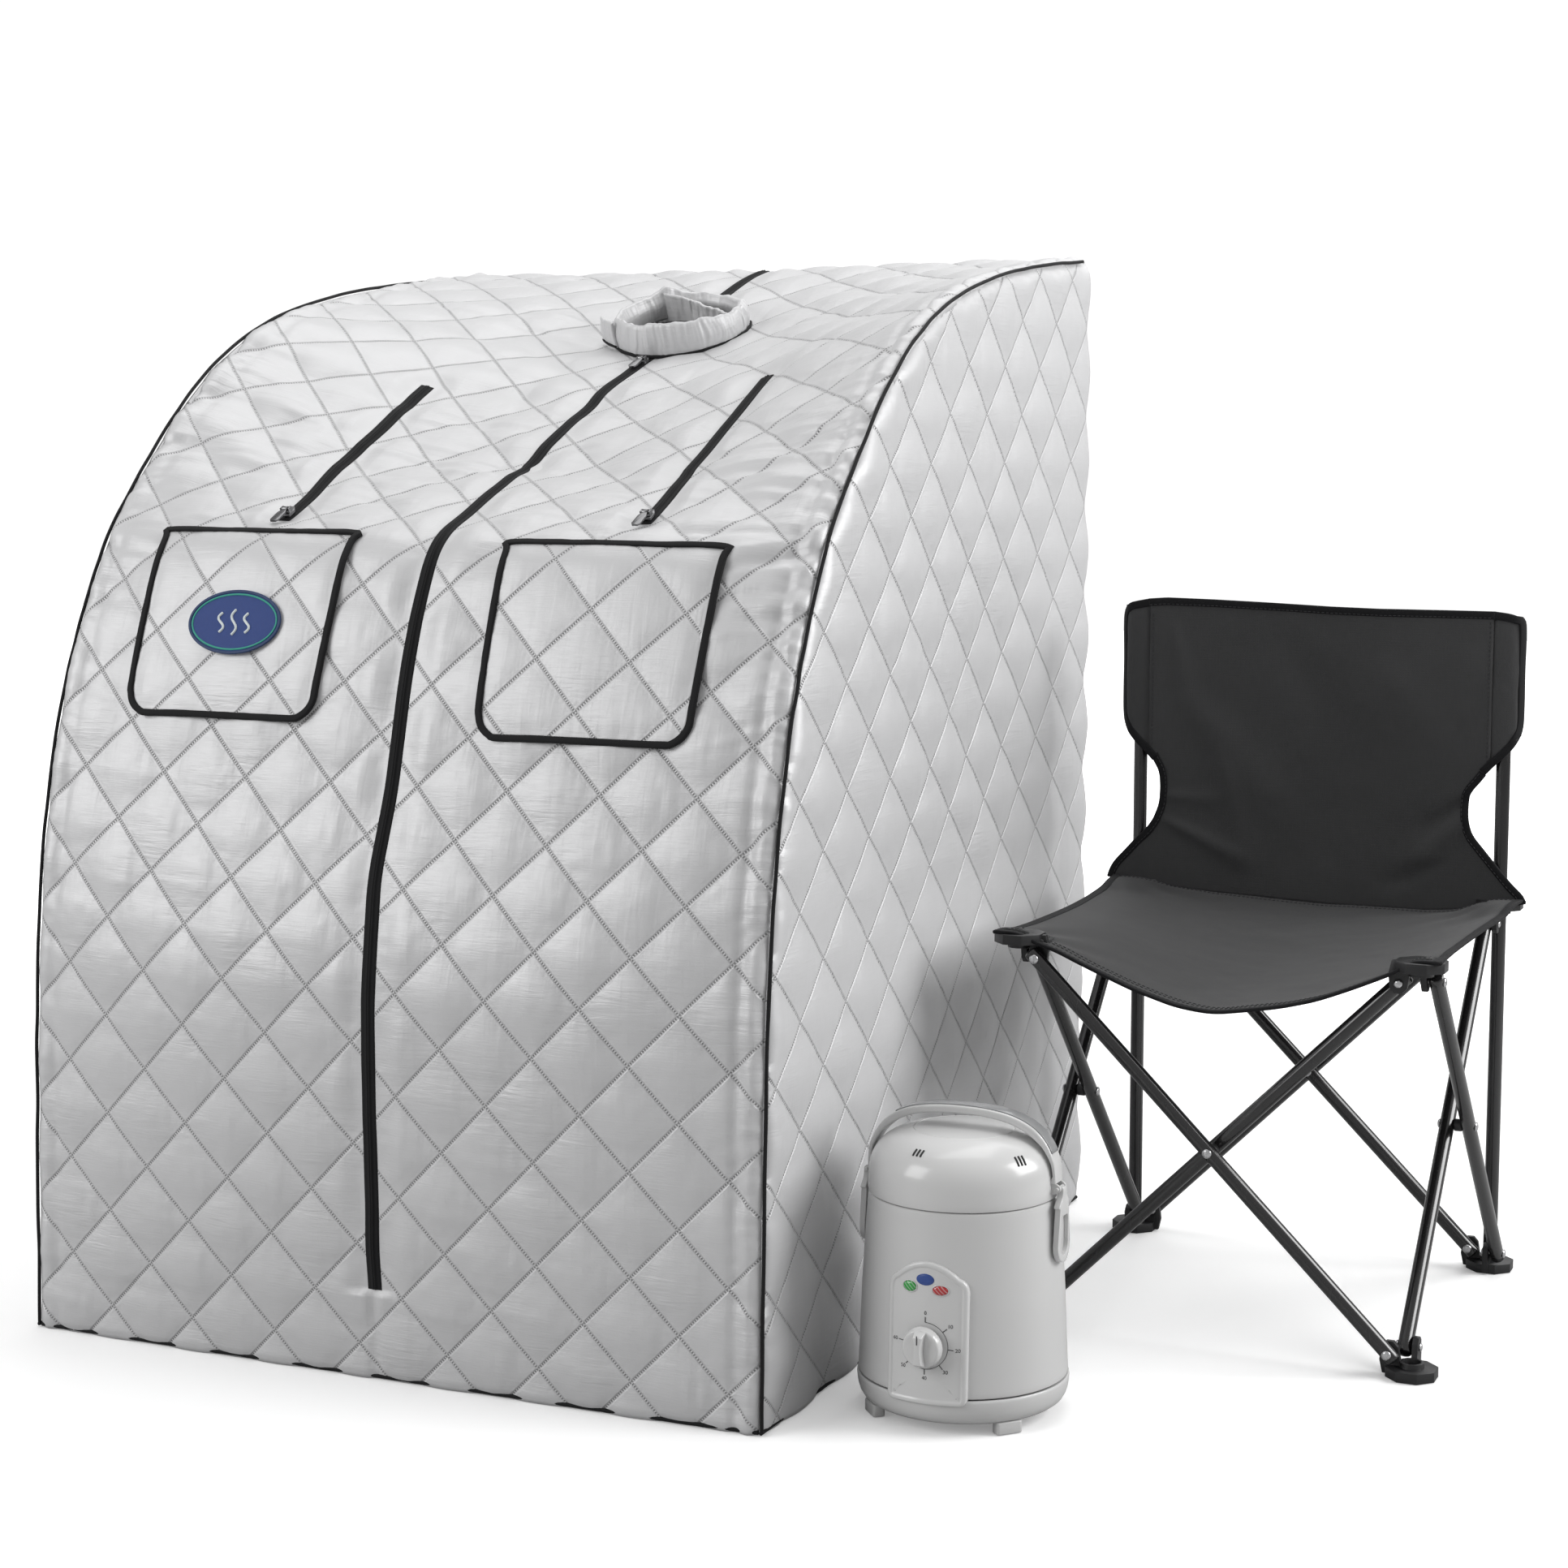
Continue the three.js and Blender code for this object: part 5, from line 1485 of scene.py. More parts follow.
# (distance in from the outline, height off the drum): raised rim, sunken field
FASCIA = [
    (0.0, -0.8), (0.0, 1.6), (0.25, 2.7), (0.9, 3.3), (2.0, 3.4), (3.2, 3.3), (3.9, 2.9),
    (4.3, 2.55), (5.2, 2.45), (8.0, 2.45), (12, 2.45), (17, 2.45), (22, 2.45), (30.69, 2.45)]
FASCIA_HALF = 33


def on_drum(x, z, height):
    """a point off the drum's front, x from its axis"""
    x, z, height = np.broadcast_arrays(*(np.asarray(c, float) for c in (x, z, height)))
    radius = lookup(WALL, z) + height
    return np.stack([GEN_X + x, GEN_Y - np.sqrt(np.maximum(radius ** 2 - x ** 2, 1)), z], -1)


def fascia():
    parts, start = [], np.array(ARCH_START)
    for control, end, count in ARCH:
        part = np.linspace(0, 1, count, endpoint=False)[:, None]
        control, end = np.array(control), np.array(end)
        parts.append((1 - part) ** 2 * start + 2 * part * (1 - part) * control + part * part * end)
        start = end
    ring = np.concatenate(parts)
    along = unit(np.roll(ring, -1, 0) - np.roll(ring, 1, 0))
    inwards = np.stack([-along[:, 1], along[:, 0]], 1)
    for _ in range(3):
        inwards = unit(inwards + 0.5 * (np.roll(inwards, 1, 0) + np.roll(inwards, -1, 0)))
    # the field shrinks towards the upright middle line
    spine_z = np.clip(ring[:, 1], 26 + FASCIA_HALF, 138 - FASCIA_HALF)
    spine = np.stack([np.zeros(len(ring)), spine_z], 1)
    verts = []
    for inset, height in FASCIA:
        if inset > 9:
            inner = ring + (spine - ring) * (inset / FASCIA_HALF)
        else:
            inner = ring + inwards * inset
        verts.append(on_drum(inner[:, 0], inner[:, 1], height))
    size = len(verts), len(ring)
    faces = ring_quads(*size) + end_caps(*size)[::-1]
    put(face_out(build("generator_fascia", np.concatenate(verts), faces, GLOSS, sharp=60)),
        "steamer", "control_panel")


def drum_disc(name, x, z, half_width, half_height, profile, mat, count):
    """oval on the drum; profile [(scale, height)] runs from its centre to its base's centre"""
    verts = [on_drum(x, z, profile[0][1])]
    oval = circle(half_width, count, half_height)
    for scale, height in profile[1:-1]:
        verts.extend(on_drum(x + scale * oval[:, 0], z + scale * oval[:, 1], height))
    verts.append(on_drum(x, z, profile[-1][1]))
    faces = []
    for top, sides, base in disc_segments(len(profile) - 2, count):
        faces += [top, *sides, base]
    return face_out(build(name, verts, faces, mat))


def lens(color_name, x, z, half_width, half_height, color):
    """striped oval lens in a thin bezel"""
    name = f"lamp_{color_name}"
    mat = Mat(name + "_lens", rough=0.12)
    axes = mat.split(mat.co)
    run = mat.math("FRACT", (axes[0] + axes[2] * 1.0) * (1000 / 3.4))
    stripe = mat.step(0.0, 0.08, run) * (1.0 - mat.step(0.34, 0.42, run))
    mat.set(Base_Color=mat.mix(stripe * 0.32, color, (0.75, 0.76, 0.75)),
            Coat_Weight=0.6, Coat_Roughness=0.05,
            Normal=mat.bump(stripe + mat.noise(mat.co, scale=700.0), mm=0.05, strength=0.5))
    profile = [(0, 4.3), (0.3, 4.25), (0.6, 4.1), (0.82, 3.8), (0.95, 3.4), (1.0, 2.9), (1.0, 1.2),
               (0, 1.2)]
    put(drum_disc(name, x, z, half_width, half_height, profile, mat.material, 36),
        "steamer", f"{color_name}_lamp")
    rim = circle(half_width + 0.5, 60, half_height + 0.5)
    put(tube(name + "_bezel", on_drum(x + rim[:, 0], z + rim[:, 1], 2.7), 0.5, GLOSS, sides=8,
             closed=True), "steamer")


def fascia_oval():
    """plain oval between the lamps, with a slightly raised core"""
    blue = speckled("fascia_oval", 0.3, 300.0, (0.012, 0.045, 0.22), (0.02, 0.07, 0.30),
                    Coat_Weight=0.5)
    for name, half_width, half_height, top in (("fascia_oval", 7.3, 4.5, 2.9),
                                               ("fascia_oval_core", 6.2, 3.5, 3.0)):
        profile = [(0, top), (0.5, top), (0.92, top), (1.0, top - 0.15), (1.0, top - 0.6),
                   (0, top - 0.6)]
        put(drum_disc(name, -0.8, 124.2, half_width, half_height, profile, blue, 48),
            "steamer")


# ---------------------------------------------------------------- steam generator: dial
DIAL_Z = 72.4
DIAL_DEGREES = (0, 50, 95, 140, 180, 225, 275)     # clockwise from the top, ten minutes apart
KNOB_Y = GEN_Y - 87.7
KNOB_SKIRT = [(0, 0), (15.0, 0), (16.1, 0.35), (16.4, 1.2), (16.1, 2.4), (15.5, 4.6), (15.1, 6.0),
              (14.5, 6.8), (13.6, 7.1), (11.5, 6.9), (6, 6.75), (0, 6.7)]


def numeral(text, x, z, size, ink):
    """digits wrapped on the drum"""
    curve = bpy.data.curves.new("num", "FONT")
    curve.body = text
    curve.size = size
    curve.align_x = "CENTER"
    curve.align_y = "CENTER"
    curve.resolution_u = 3
    obj = link_object("num", curve)
    graph = bpy.context.evaluated_depsgraph_get()
    mesh = bpy.data.meshes.new_from_object(obj.evaluated_get(graph))
    bpy.data.objects.remove(obj)
    flat = np.array([v.co[:] for v in mesh.vertices]).reshape(-1, 3)
    faces = [list(p.vertices) for p in mesh.polygons]
    bpy.data.meshes.remove(mesh)
    verts = np.concatenate([on_drum(x + flat[:, 0], z + flat[:, 1], h) for h in (2.62, 2.2)])
    count = len(flat)
    backs = [[k + count for k in face[::-1]] for face in faces]
    faces = faces + backs + rim_walls(faces, count)
    return face_out(build("num", verts, faces, ink, smooth_shade=False))


def dial(ink):
    marks, numerals = [], []
    for degrees in DIAL_DEGREES:
        turn = radians(degrees)
        radius = np.linspace(18.6, 22.6, 7)
        line = on_drum(radius * sin(turn), DIAL_Z + radius * cos(turn), 2.62)
        marks.append(tube("part", line, 0.33, ink, sides=8))
    turn = np.linspace(0, radians(DIAL_DEGREES[-1]), 80)
    arc = on_drum(18.4 * np.sin(turn), DIAL_Z + 18.4 * np.cos(turn), 2.55)
    marks.append(tube("part", arc, 0.22, ink, sides=6))
    put(merge("dial_marks", marks), "steamer")
    for i, degrees in enumerate(DIAL_DEGREES):
        turn = radians(degrees)
        numerals.append(numeral(str(10 * i), 26.0 * sin(turn), DIAL_Z + 25.6 * cos(turn), 4.2,
                                ink))
    put(merge("dial_numerals", numerals), "steamer")


def knob(ink):
    """round skirt, waisted grip and pointer line"""
    def turned(x, z, out):
        return GEN_X + x, KNOB_Y - out, DIAL_Z + z

    def place(x, z, out):
        lean = 1 - 0.04 * max(out - 8, 0)
        return GEN_X + x * lean, KNOB_Y - out, DIAL_Z + z * lean

    skirt = lathe("part", KNOB_SKIRT, GLOSS, turned, count=72, sharp=40)
    part = np.linspace(-1, 1, 22)
    half = 2.6 + 2.0 * part * part + 0.3
    outline = np.concatenate([np.stack([-half, 14.3 * part], 1),
                              np.stack([half, 14.3 * part], 1)[::-1]])
    grip = prism("part", rounded(outline, 1.2, 3), place, (6.0, 14.2), GLOSS, bevel=1.2,
                 segments=4)
    pointer = [(GEN_X, KNOB_Y - 14.35, DIAL_Z + z) for z in np.linspace(5.5, 12.4, 6)]
    line = tube("part", pointer, 0.45, ink, sides=8)
    put(merge("timer_knob_cap", [skirt, grip, line]), "knob")
    shaft = [(GEN_X, KNOB_Y + y, DIAL_Z) for y in np.linspace(0.0, 10.6, 8)]
    put(tube("timer_knob_shaft", shaft, 2.9, STEEL, sides=20), "knob",
        "timer_knob")


def generator_inside():
    put(lathe("generator_water_pot", POT, STEEL), "steamer", "water_pot")
    ring = [(GEN_X + x, GEN_Y + y, 50.0) for x, y in circle(38, 72)]
    put(tube("generator_heating_ring", ring, 3.9, STEEL, closed=True),
        "steamer", "heating_element")
    soften("timer_unit", "generator_timer_unit", BLACK_PLASTIC, width=0.8)


def generator():
    drum()
    lid()
    handle()
    for sign, side in SIDES:
        clip(sign, side)
    fascia()
    lens("green", -13.7, 117.7, 5.7, 4.0, (0.012, 0.30, 0.035))
    lens("red", 11.7, 116.7, 6.1, 3.6, (0.42, 0.018, 0.02))
    fascia_oval()
    ink = speckled("dial_ink", 0.6, 500.0, (0.035, 0.035, 0.038), (0.07, 0.07, 0.073),
                   color=(0.05, 0.05, 0.052))
    dial(ink)
    knob(ink)
    generator_inside()


generator()

# ---------------------------------------------------------------- folding chair: frame
CHAIR = np.array([606.0, 525.5, 0.0])
CHAIR_X, CHAIR_Y = CHAIR[:2]
TUBE_R, REACH, FOOT_Z = 6.5, 436.0, 20.0
SPAN = REACH * sqrt(0.5)           # the crossed tubes lie at 45 degrees
TOP_Z = FOOT_Z + SPAN
CORNER = SPAN / 2 + 18             # from the middle to the posts
LAYER = 9.3                        # a tube's distance from its face's plane
RIVET = metal("rivet", (0.66, 0.66, 0.67), rough=0.24)


def chair_point(face, across, out, z):
    """a point on one of the chair's four faces, out from the face's plane"""
    x, y = {"front": (across, -CORNER - out), "rear": (across, CORNER + out),
            "right": (CORNER + out, across), "left": (-CORNER - out, across)}[face]
    return np.array([CHAIR_X + x, CHAIR_Y + y, z])


def rivet(face, across, z, out, way, radius=4.1, name="part"):
    """domed head standing on the plane out, facing way"""
    base = chair_point(face, across, out, z)
    axis = unit(chair_point(face, across, out + way, z) - base)
    rise = np.array([0, 0, 1.0])
    side = np.cross(axis, rise)
    count = 24
    profile = [(0.86, -0.3), (1, 0.15), (1, 0.5), (0.9, 1.15), (0.68, 1.7), (0.36, 2.05)]
    verts = [base + axis * height + side * a + rise * b
             for scale, height in profile for a, b in circle(radius * scale, count)]
    verts.append(base + axis * 2.15)
    last = (len(profile) - 1) * count
    faces = ring_quads(len(profile), count)
    faces += [(last + k, last + (k + 1) % count, len(verts) - 1) for k in range(count)]
    faces.append(tuple(range(count))[::-1])
    return face_out(build(name, verts, faces, RIVET))


def crossed_tube(face, letter, foot_side, outer):
    """one slanting tube of a face, with its rivets; tube a also carries the crossing"""
    name, body = f"{face}_tube_{letter}", f"{face}_{letter}"
    foot = np.array([foot_side * SPAN / 2, FOOT_Z])
    top = np.array([-foot_side * SPAN / 2, TOP_Z])
    along = (top - foot) / REACH
    way = 1 if outer else -1
    layer = way * LAYER
    path = [chair_point(face, foot[0] + along[0] * d, layer, foot[1] + along[1] * d)
            for d in np.linspace(-6.4, REACH + 6.4, 60)]
    up = chair_point(face, 0, 1, 0) - chair_point(face, 0, 0, 0)
    put(tube("chair_" + name, path, TUBE_R - 0.1, ENAMEL, sides=28, up=up),
        body, name)
    head, gap = TUBE_R - 0.35, 2.7
    parts = []
    for across, z in (foot, top):
        parts.append(rivet(face, across, z, layer + way * head, way))
        parts.append(rivet(face, across, z, -way * gap, -way, radius=3.7))
        shank = [chair_point(face, across, layer * part - way * gap * (1 - part), z)
                 for part in np.linspace(0, 1, 4)]
        parts.append(sweep("part", shank, circle(2.2, 12), RIVET))
    across, z = (foot + top) / 2
    first = letter == "a"
    if first:
        parts.append(rivet(face, across, z, layer + way * head, way))
    put(merge(f"chair_{name}_rivets", parts), body)
    if first:
        put(rivet(face, across, z, -way * (LAYER + head), -way,
                  name=f"chair_{name}_cross_head"), body)
        spacer = [chair_point(face, across, out, z) for out in np.linspace(way * 3.4, -way * 2.6, 5)]
        put(sweep(f"chair_{name}_spacer", spacer, circle(5.4, 24), BLACK_PLASTIC),
            body)


def chair_frame():
    for face, first_outer in (("front", True), ("rear", False), ("right", True), ("left", False)):
        crossed_tube(face, "a", 1, first_outer)
        crossed_tube(face, "b", -1, not first_outer)
    for corner in ("front_left", "front_right", "rear_left", "rear_right"):
        for part in ("foot", "top_bracket"):
            soften(f"{corner}_{part}", f"chair_{corner}_{part}", BLACK_PLASTIC,
                   width=0.7)
    for sign, side, body in POSTS:
        post = [(CHAIR_X + sign * CORNER, CHAIR_Y + CORNER, z)
                for z in np.linspace(4.8, 604.4, 40)]
        put(tube(f"chair_rear_{side}_post", post, TUBE_R - 0.1, ENAMEL, sides=28),
            body, f"rear_{side}_post")


POSTS = ((-1, "left", "rear_left_base"), (1, "right", "chair_base"))
chair_frame()

# ---------------------------------------------------------------- folding chair: sewing, and mesh copies for the folding parts
THREAD = speckled("cloth_thread", 0.8, 900.0, (0.022, 0.022, 0.024), (0.045, 0.045, 0.048))


def stitches(name, path, normal, pitch=4.2, length=2.9, lift=0.15):
    """a row of short threads along a path"""
    radius, count = 0.34, 6
    path = np.asarray(path, float)
    normal = np.broadcast_to(np.asarray(normal, float), path.shape)
    distance = arc_length(path)

    def at(values, where):
        return np.array([np.interp(where, distance, values[:, c]) for c in range(3)])

    verts, faces = [], []
    for start in np.arange(1.0, distance[-1] - length - 0.5, pitch):
        spine = np.array([at(path, start + part * length) for part in (0, 0.25, 0.75, 1)])
        out = unit(at(normal, start))
        side = np.cross(unit(spine[-1] - spine[0]), out)
        spine = spine + out * (np.array([-0.25, 1, 1, -0.25])[:, None] * radius * 0.6 + lift)
        base = len(verts)
        for point, scale in zip(spine, (0.55, 1, 1, 0.55)):
            verts += [point + side * a + out * b for a, b in circle(radius * scale, count)]
        faces += ring_quads(4, count, base) + end_caps(4, count, base)
    return face_out(build(name, verts, faces, THREAD))


SHIFT = 240.09                     # how far the left and front sides come in when folded
SEAT_FRONT_HALF, SEAT_REAR_HALF, BRACKET_Y = 191.0, 195.0, 163.2
SEAT_DEPTH = 351.2


def squash_to(obj, x, y, width):
    """gives the object its own copy of its mesh; nothing is flattened"""
    (CHAIR_X + x) / 1000
    1 - SHIFT / width
    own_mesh(obj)


def squash_back(obj):
    squash_to(obj, CORNER, CORNER, 2 * CORNER)


def squash_edge(obj, side):
    if side in ("front", "rear"):
        half = SEAT_FRONT_HALF if side == "front" else SEAT_REAR_HALF
        squash_to(obj, half, BRACKET_Y, 2 * half)
    else:
        squash_to(obj, SEAT_REAR_HALF, BRACKET_Y, SEAT_DEPTH)


# ---------------------------------------------------------------- folding chair: seat
# height of the seat's front and rear edges: (x from the chair's middle, z)
FRONT_EDGE = np.array([
    (-197, 349.5), (-180, 348.5), (-141, 339.5), (-105, 323.5), (-69, 308.5), (-33, 296.5),
    (-6, 293.0), (6, 293.2), (32, 298), (60, 303), (90, 311), (130, 327.5), (159, 342),
    (180, 348.5), (197, 349.5)], float)
REAR_EDGE = np.array([(-202, 349.0), (-160, 344), (-94, 339.6), (16, 335.2), (107, 335.4),
                      (160, 340), (200, 347.5)], float)
_x = np.linspace(-197, 197, 80)
_z = lookup(FRONT_EDGE, _x)
ease(_z, 5)
FRONT_EDGE = np.stack([_x, _z], 1)
# the part each side of the seat rides on
SEAT_BODIES = {"rear": "rear_right_top", "front": "front_right_top", "right": "rear_right_top",
               "left": "rear_left_top"}
TAPE_AT = 0.984
# rows of stitches on each side: (place across the seat, half length, lift)
STITCH_ROWS = {
    "rear": [(0.985, 0.97, 0.15), (0.955, 0.97, 0.15)],
    "front": [(-0.925, 0.93, 0.15), (-0.90, 0.93, 0.15), (-0.969, 0.985, 0.5)],
    "right": [(0.967, 0.98, 0.5)],
    "left": [(-0.967, 0.98, 0.5)]}
SEAT_PATCHES = 8


def seat_point(across, back):
    """across and back run from -1 to 1, left to right and front to rear; from the chair's
    middle"""
    across, back = np.broadcast_arrays(np.asarray(across, float), np.asarray(back, float))
    part = (back + 1) / 2
    x = across * (SEAT_FRONT_HALF + 4 * part - 9 * (1 - back ** 2))
    front_y = -188 + 9 * (1 - across ** 2)
    rear_y = 165.2 + 0.6 * across + 1.4 * (1 - across ** 2)
    y = front_y + (rear_y - front_y) * part
    z = lookup(FRONT_EDGE, x) * (1 - part) + lookup(REAR_EDGE, x) * part
    sag = (1 - np.clip(across, -1, 1) ** 2) * (1 - back ** 2)
    z = z - 9 * sag * (1 - 0.4 * part) - 2.5 * (1 - back ** 2) * np.abs(across) ** 6
    # soft hollows and folds drawn towards the corners
    z = z + 1.3 * fbm(x * 0.013 + 3, y * 0.016 + 9, 5) * np.sqrt(np.clip(1 - across ** 2, 0, 1))
    for side, end in ((-1, -1), (1, -1), (-1, 1), (1, 1)):
        to_side, to_end = (across - side) * 190, (back - end) * 175
        radius = np.hypot(to_side, to_end)
        angle = np.arctan2(np.abs(to_end), np.abs(to_side))
        z = z + 0.85 * np.sin(angle * 13 + side * 1.7 + end) * bell(radius - 62, 46)
        z = z + (350.2 - z) * np.exp(-(radius / (29 if end < 0 else 46)) ** 4)
    return np.stack([x, y, z], -1)


def seat_normal(across, back):
    step = 1e-3
    return unit(np.cross(seat_point(across + step, back) - seat_point(across - step, back),
                         seat_point(across, back + step) - seat_point(across, back - step)))


def seat_cloth():
    """square patches, each put on the part it rides on and given its own mesh"""
    cells = 96
    count = (cells + 1) ** 2
    line = np.linspace(-1, 1, cells + 1)
    top = seat_point(*np.meshgrid(line, line, indexing="ij"))
    normal = unit(np.cross(np.gradient(top, axis=0), np.gradient(top, axis=1)))
    verts = np.concatenate([(s + CHAIR).reshape(-1, 3) for s in (top, top - normal * 1.7)])
    normals = np.concatenate([normal.reshape(-1, 3), -normal.reshape(-1, 3)])
    lay = np.concatenate([top[..., :2].reshape(-1, 2)] * 2) / 1000
    index = np.arange(count).reshape(cells + 1, cells + 1)
    size = cells // SEAT_PATCHES
    last = SEAT_PATCHES - 1
    for column in range(SEAT_PATCHES):
        for row in range(SEAT_PATCHES):
            quads = [(index[i, j], index[i + 1, j], index[i + 1, j + 1], index[i, j + 1])
                     for i in range(column * size, (column + 1) * size)
                     for j in range(row * size, (row + 1) * size)]
            faces = quads + [tuple(k + count for k in quad[::-1]) for quad in quads]
            faces += rim_walls(quads, count)
            used = sorted({k for face in faces for k in face})
            renumber = {old: new for new, old in enumerate(used)}
            faces = [tuple(renumber[k] for k in face) for face in faces]
            obj = build(f"chair_seat_{column}_{row}", verts[used], faces, CANVAS_SEAT_SHADED, lay[used])
            obj.data.normals_split_custom_set_from_vertices([tuple(v) for v in normals[used]])
            if column in (0, last) or row in (0, last):
                # the rim stays on its edge tape
                side = ("left" if column == 0 else "right" if column == last
                        else "front" if row == 0 else "rear")
                put(obj, SEAT_BODIES[side], "seat_sling")
                squash_edge(obj, side)
                continue
            fold_patch(obj, column, row)


def fold_patch(obj, column, row):
    """puts an inner seat patch on the part that carries its quarter and gives it its own mesh; its
    way towards the gathered place is worked out but not applied
    """
    across, back = ((k + 0.5) / SEAT_PATCHES * 2 - 1 for k in (column, row))
    body = ("front" if back < 0 else "rear") + ("_left" if across < 0 else "_right") + "_top"
    put(obj, body, "seat_sling")
    centre = seat_point(across, back)
    from_right = (SEAT_REAR_HALF - centre[0]) / (2 * SEAT_REAR_HALF)
    from_rear = (BRACKET_Y - centre[1]) / SEAT_DEPTH
    drop = -38.0 * (1 - across ** 2) * (1 - back ** 2) + 5.0 * sin(column * 2.3 + row * 1.7)
    move = np.array([SHIFT * (from_right - (across < 0)), SHIFT * (from_rear - (back < 0)), drop])
    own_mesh(obj)


def seat_edge(side, place, half, count):
    """seat coordinates of a row along one side"""
    along, fixed = np.linspace(-half, half, count), np.full(count, place)
    return (along, fixed) if side in ("front", "rear") else (fixed, along)


def seat_edges():
    profile = rounded_box(3.7, -2.3, 0.75, 1.1, 3)
    for side, body in SEAT_BODIES.items():
        if side != "rear":
            row = seat_edge(side, TAPE_AT if side == "right" else -TAPE_AT, 1.0, 110)
            tape = sweep("chair_seat_tape_" + side, seat_point(*row) + CHAIR, profile, BINDING,
                         up=seat_normal(*row))
            put(tape, body)
            squash_edge(tape, side)
        rows = []
        for place, half, lift in STITCH_ROWS[side]:
            row = seat_edge(side, place, half, 160)
            rows.append(stitches("part", seat_point(*row) + CHAIR, seat_normal(*row), lift=lift))
        sewing = put(merge("chair_seat_stitching_" + side, rows), body)
        squash_edge(sewing, side)


def seat_corners():
    """sewn corner patches over the front brackets"""
    for sign, side in SIDES:
        across, back = np.linspace(0.79, 0.955, 13) * sign, np.linspace(-0.955, -0.80, 13)
        cells = np.meshgrid(across, back, indexing="ij")
        point, normal = seat_point(*cells), seat_normal(*cells)
        normal = normal * np.sign(normal[..., 2:3])
        patch = sheet("chair_corner_patch_" + side, point + normal * 1.5 + CHAIR,
                      point - normal * 0.6 + CHAIR, CANVAS_SEAT_SHADED, point[..., :2] / 1000 + 0.3,
                      flip=sign < 0)
        body = f"front_{side}_top"
        put(face_out(patch), body)
        rows = []
        for inset in (0.08, 0.16):
            (left, right), (low, high) = (
                [line[0] + (line[-1] - line[0]) * k for k in (inset, 1 - inset)]
                for line in (across, back))
            square = np.array([(left, low), (right, low), (right, high), (left, high),
                               (left, low)])
            for start, end in zip(square[:-1], square[1:]):
                row = start + (end - start) * np.linspace(0, 1, 20)[:, None]
                path = seat_point(row[:, 0], row[:, 1]) + CHAIR + [0, 0, 1.5]
                rows.append(stitches("part", path, (0, 0, 1), pitch=3.4, length=2.3))
        put(merge("chair_corner_stitching_" + side, rows), body)


seat_cloth()
seat_edges()
seat_corners()

# ---------------------------------------------------------------- folding chair: back
# right and left edges of the back cloth: (z, x from the chair's middle)
BACK_RIGHT = np.array([
    (335, 199), (346, 196), (360, 184), (379, 170), (395, 158), (405, 149.5), (413, 145),
    (425, 142.5), (440, 142), (450, 143.5), (456, 148), (463, 154.5), (471, 160.5), (480, 161.5),
    (640, 161.5)], float)
BACK_LEFT = np.array([
    (335, -203), (346, -200), (355, -196), (380, -175.6), (392, -164), (405, -155.6),
    (420, -150.5), (433, -149.5), (448, -150.2), (456, -152.5), (464, -157.5), (472, -161),
    (480, -161.5), (640, -161.5)], float)
# its top edge: (x, z)
BACK_TOP = np.array([
    (-200, 613), (-184, 613.9), (-165, 618), (-146, 619.4), (-100, 618.2), (-44, 616), (10, 613.6),
    (55, 612.6), (120, 612.8), (165, 612.8), (180, 610.5), (193, 607)], float)
# folds: start (x, z), end (x, z), width, height
FOLDS = [
    ((-118, 520), (-20, 395), 22, 4.2), ((-92, 470), (-62, 365), 13, 2.6),
    ((-148, 408), (-60, 368), 7, 2.6), ((-150, 430), (-88, 428), 7, 1.8),
    ((-30, 575), (58, 440), 26, -3.0), ((142, 425), (88, 372), 10, 3.2),
    ((142, 440), (96, 405), 8, -2.2), ((134, 505), (150, 580), 9, 1.8),
    ((60, 560), (130, 470), 22, 2.4), ((-140, 600), (-120, 500), 9, 1.8),
    ((120, 380), (60, 350), 9, -1.8)]
BACK_TAPE = rounded_box(3.7, -2.4, 0.85, 1.1, 3)
FORWARD = (0, -1.0, 0)


def fold_height(x, z):
    height = np.zeros_like(x)
    for (start_x, start_z), (end_x, end_z), width, amount in FOLDS:
        run_x, run_z = end_x - start_x, end_z - start_z
        length = hypot(run_x, run_z)
        part = ((x - start_x) * run_x + (z - start_z) * run_z) / length ** 2
        away = ((x - start_x) * -run_z + (z - start_z) * run_x) / length
        ridge = amount * bell(away, width * (0.6 + 0.9 * np.clip(part, 0, 1)))
        height = height + ridge * smooth(-0.15, 0.25, part) * (1 - smooth(0.7, 1.15, part))
    return height


def back_y(x, z):
    """front face of the back cloth, from the chair's middle"""
    slack = 1 - np.clip(np.abs(x) / 165, 0, 1) ** 2
    folds = fold_height(x, z) * smooth(338, 362, z) * (1 - smooth(585, 610, z))
    return (CORNER - LAYER + slack * (2.0 + 7.0 * smooth(335, 430, z)) - folds
            + 0.7 * fbm(x * 0.02, z * 0.02, 8) * slack)


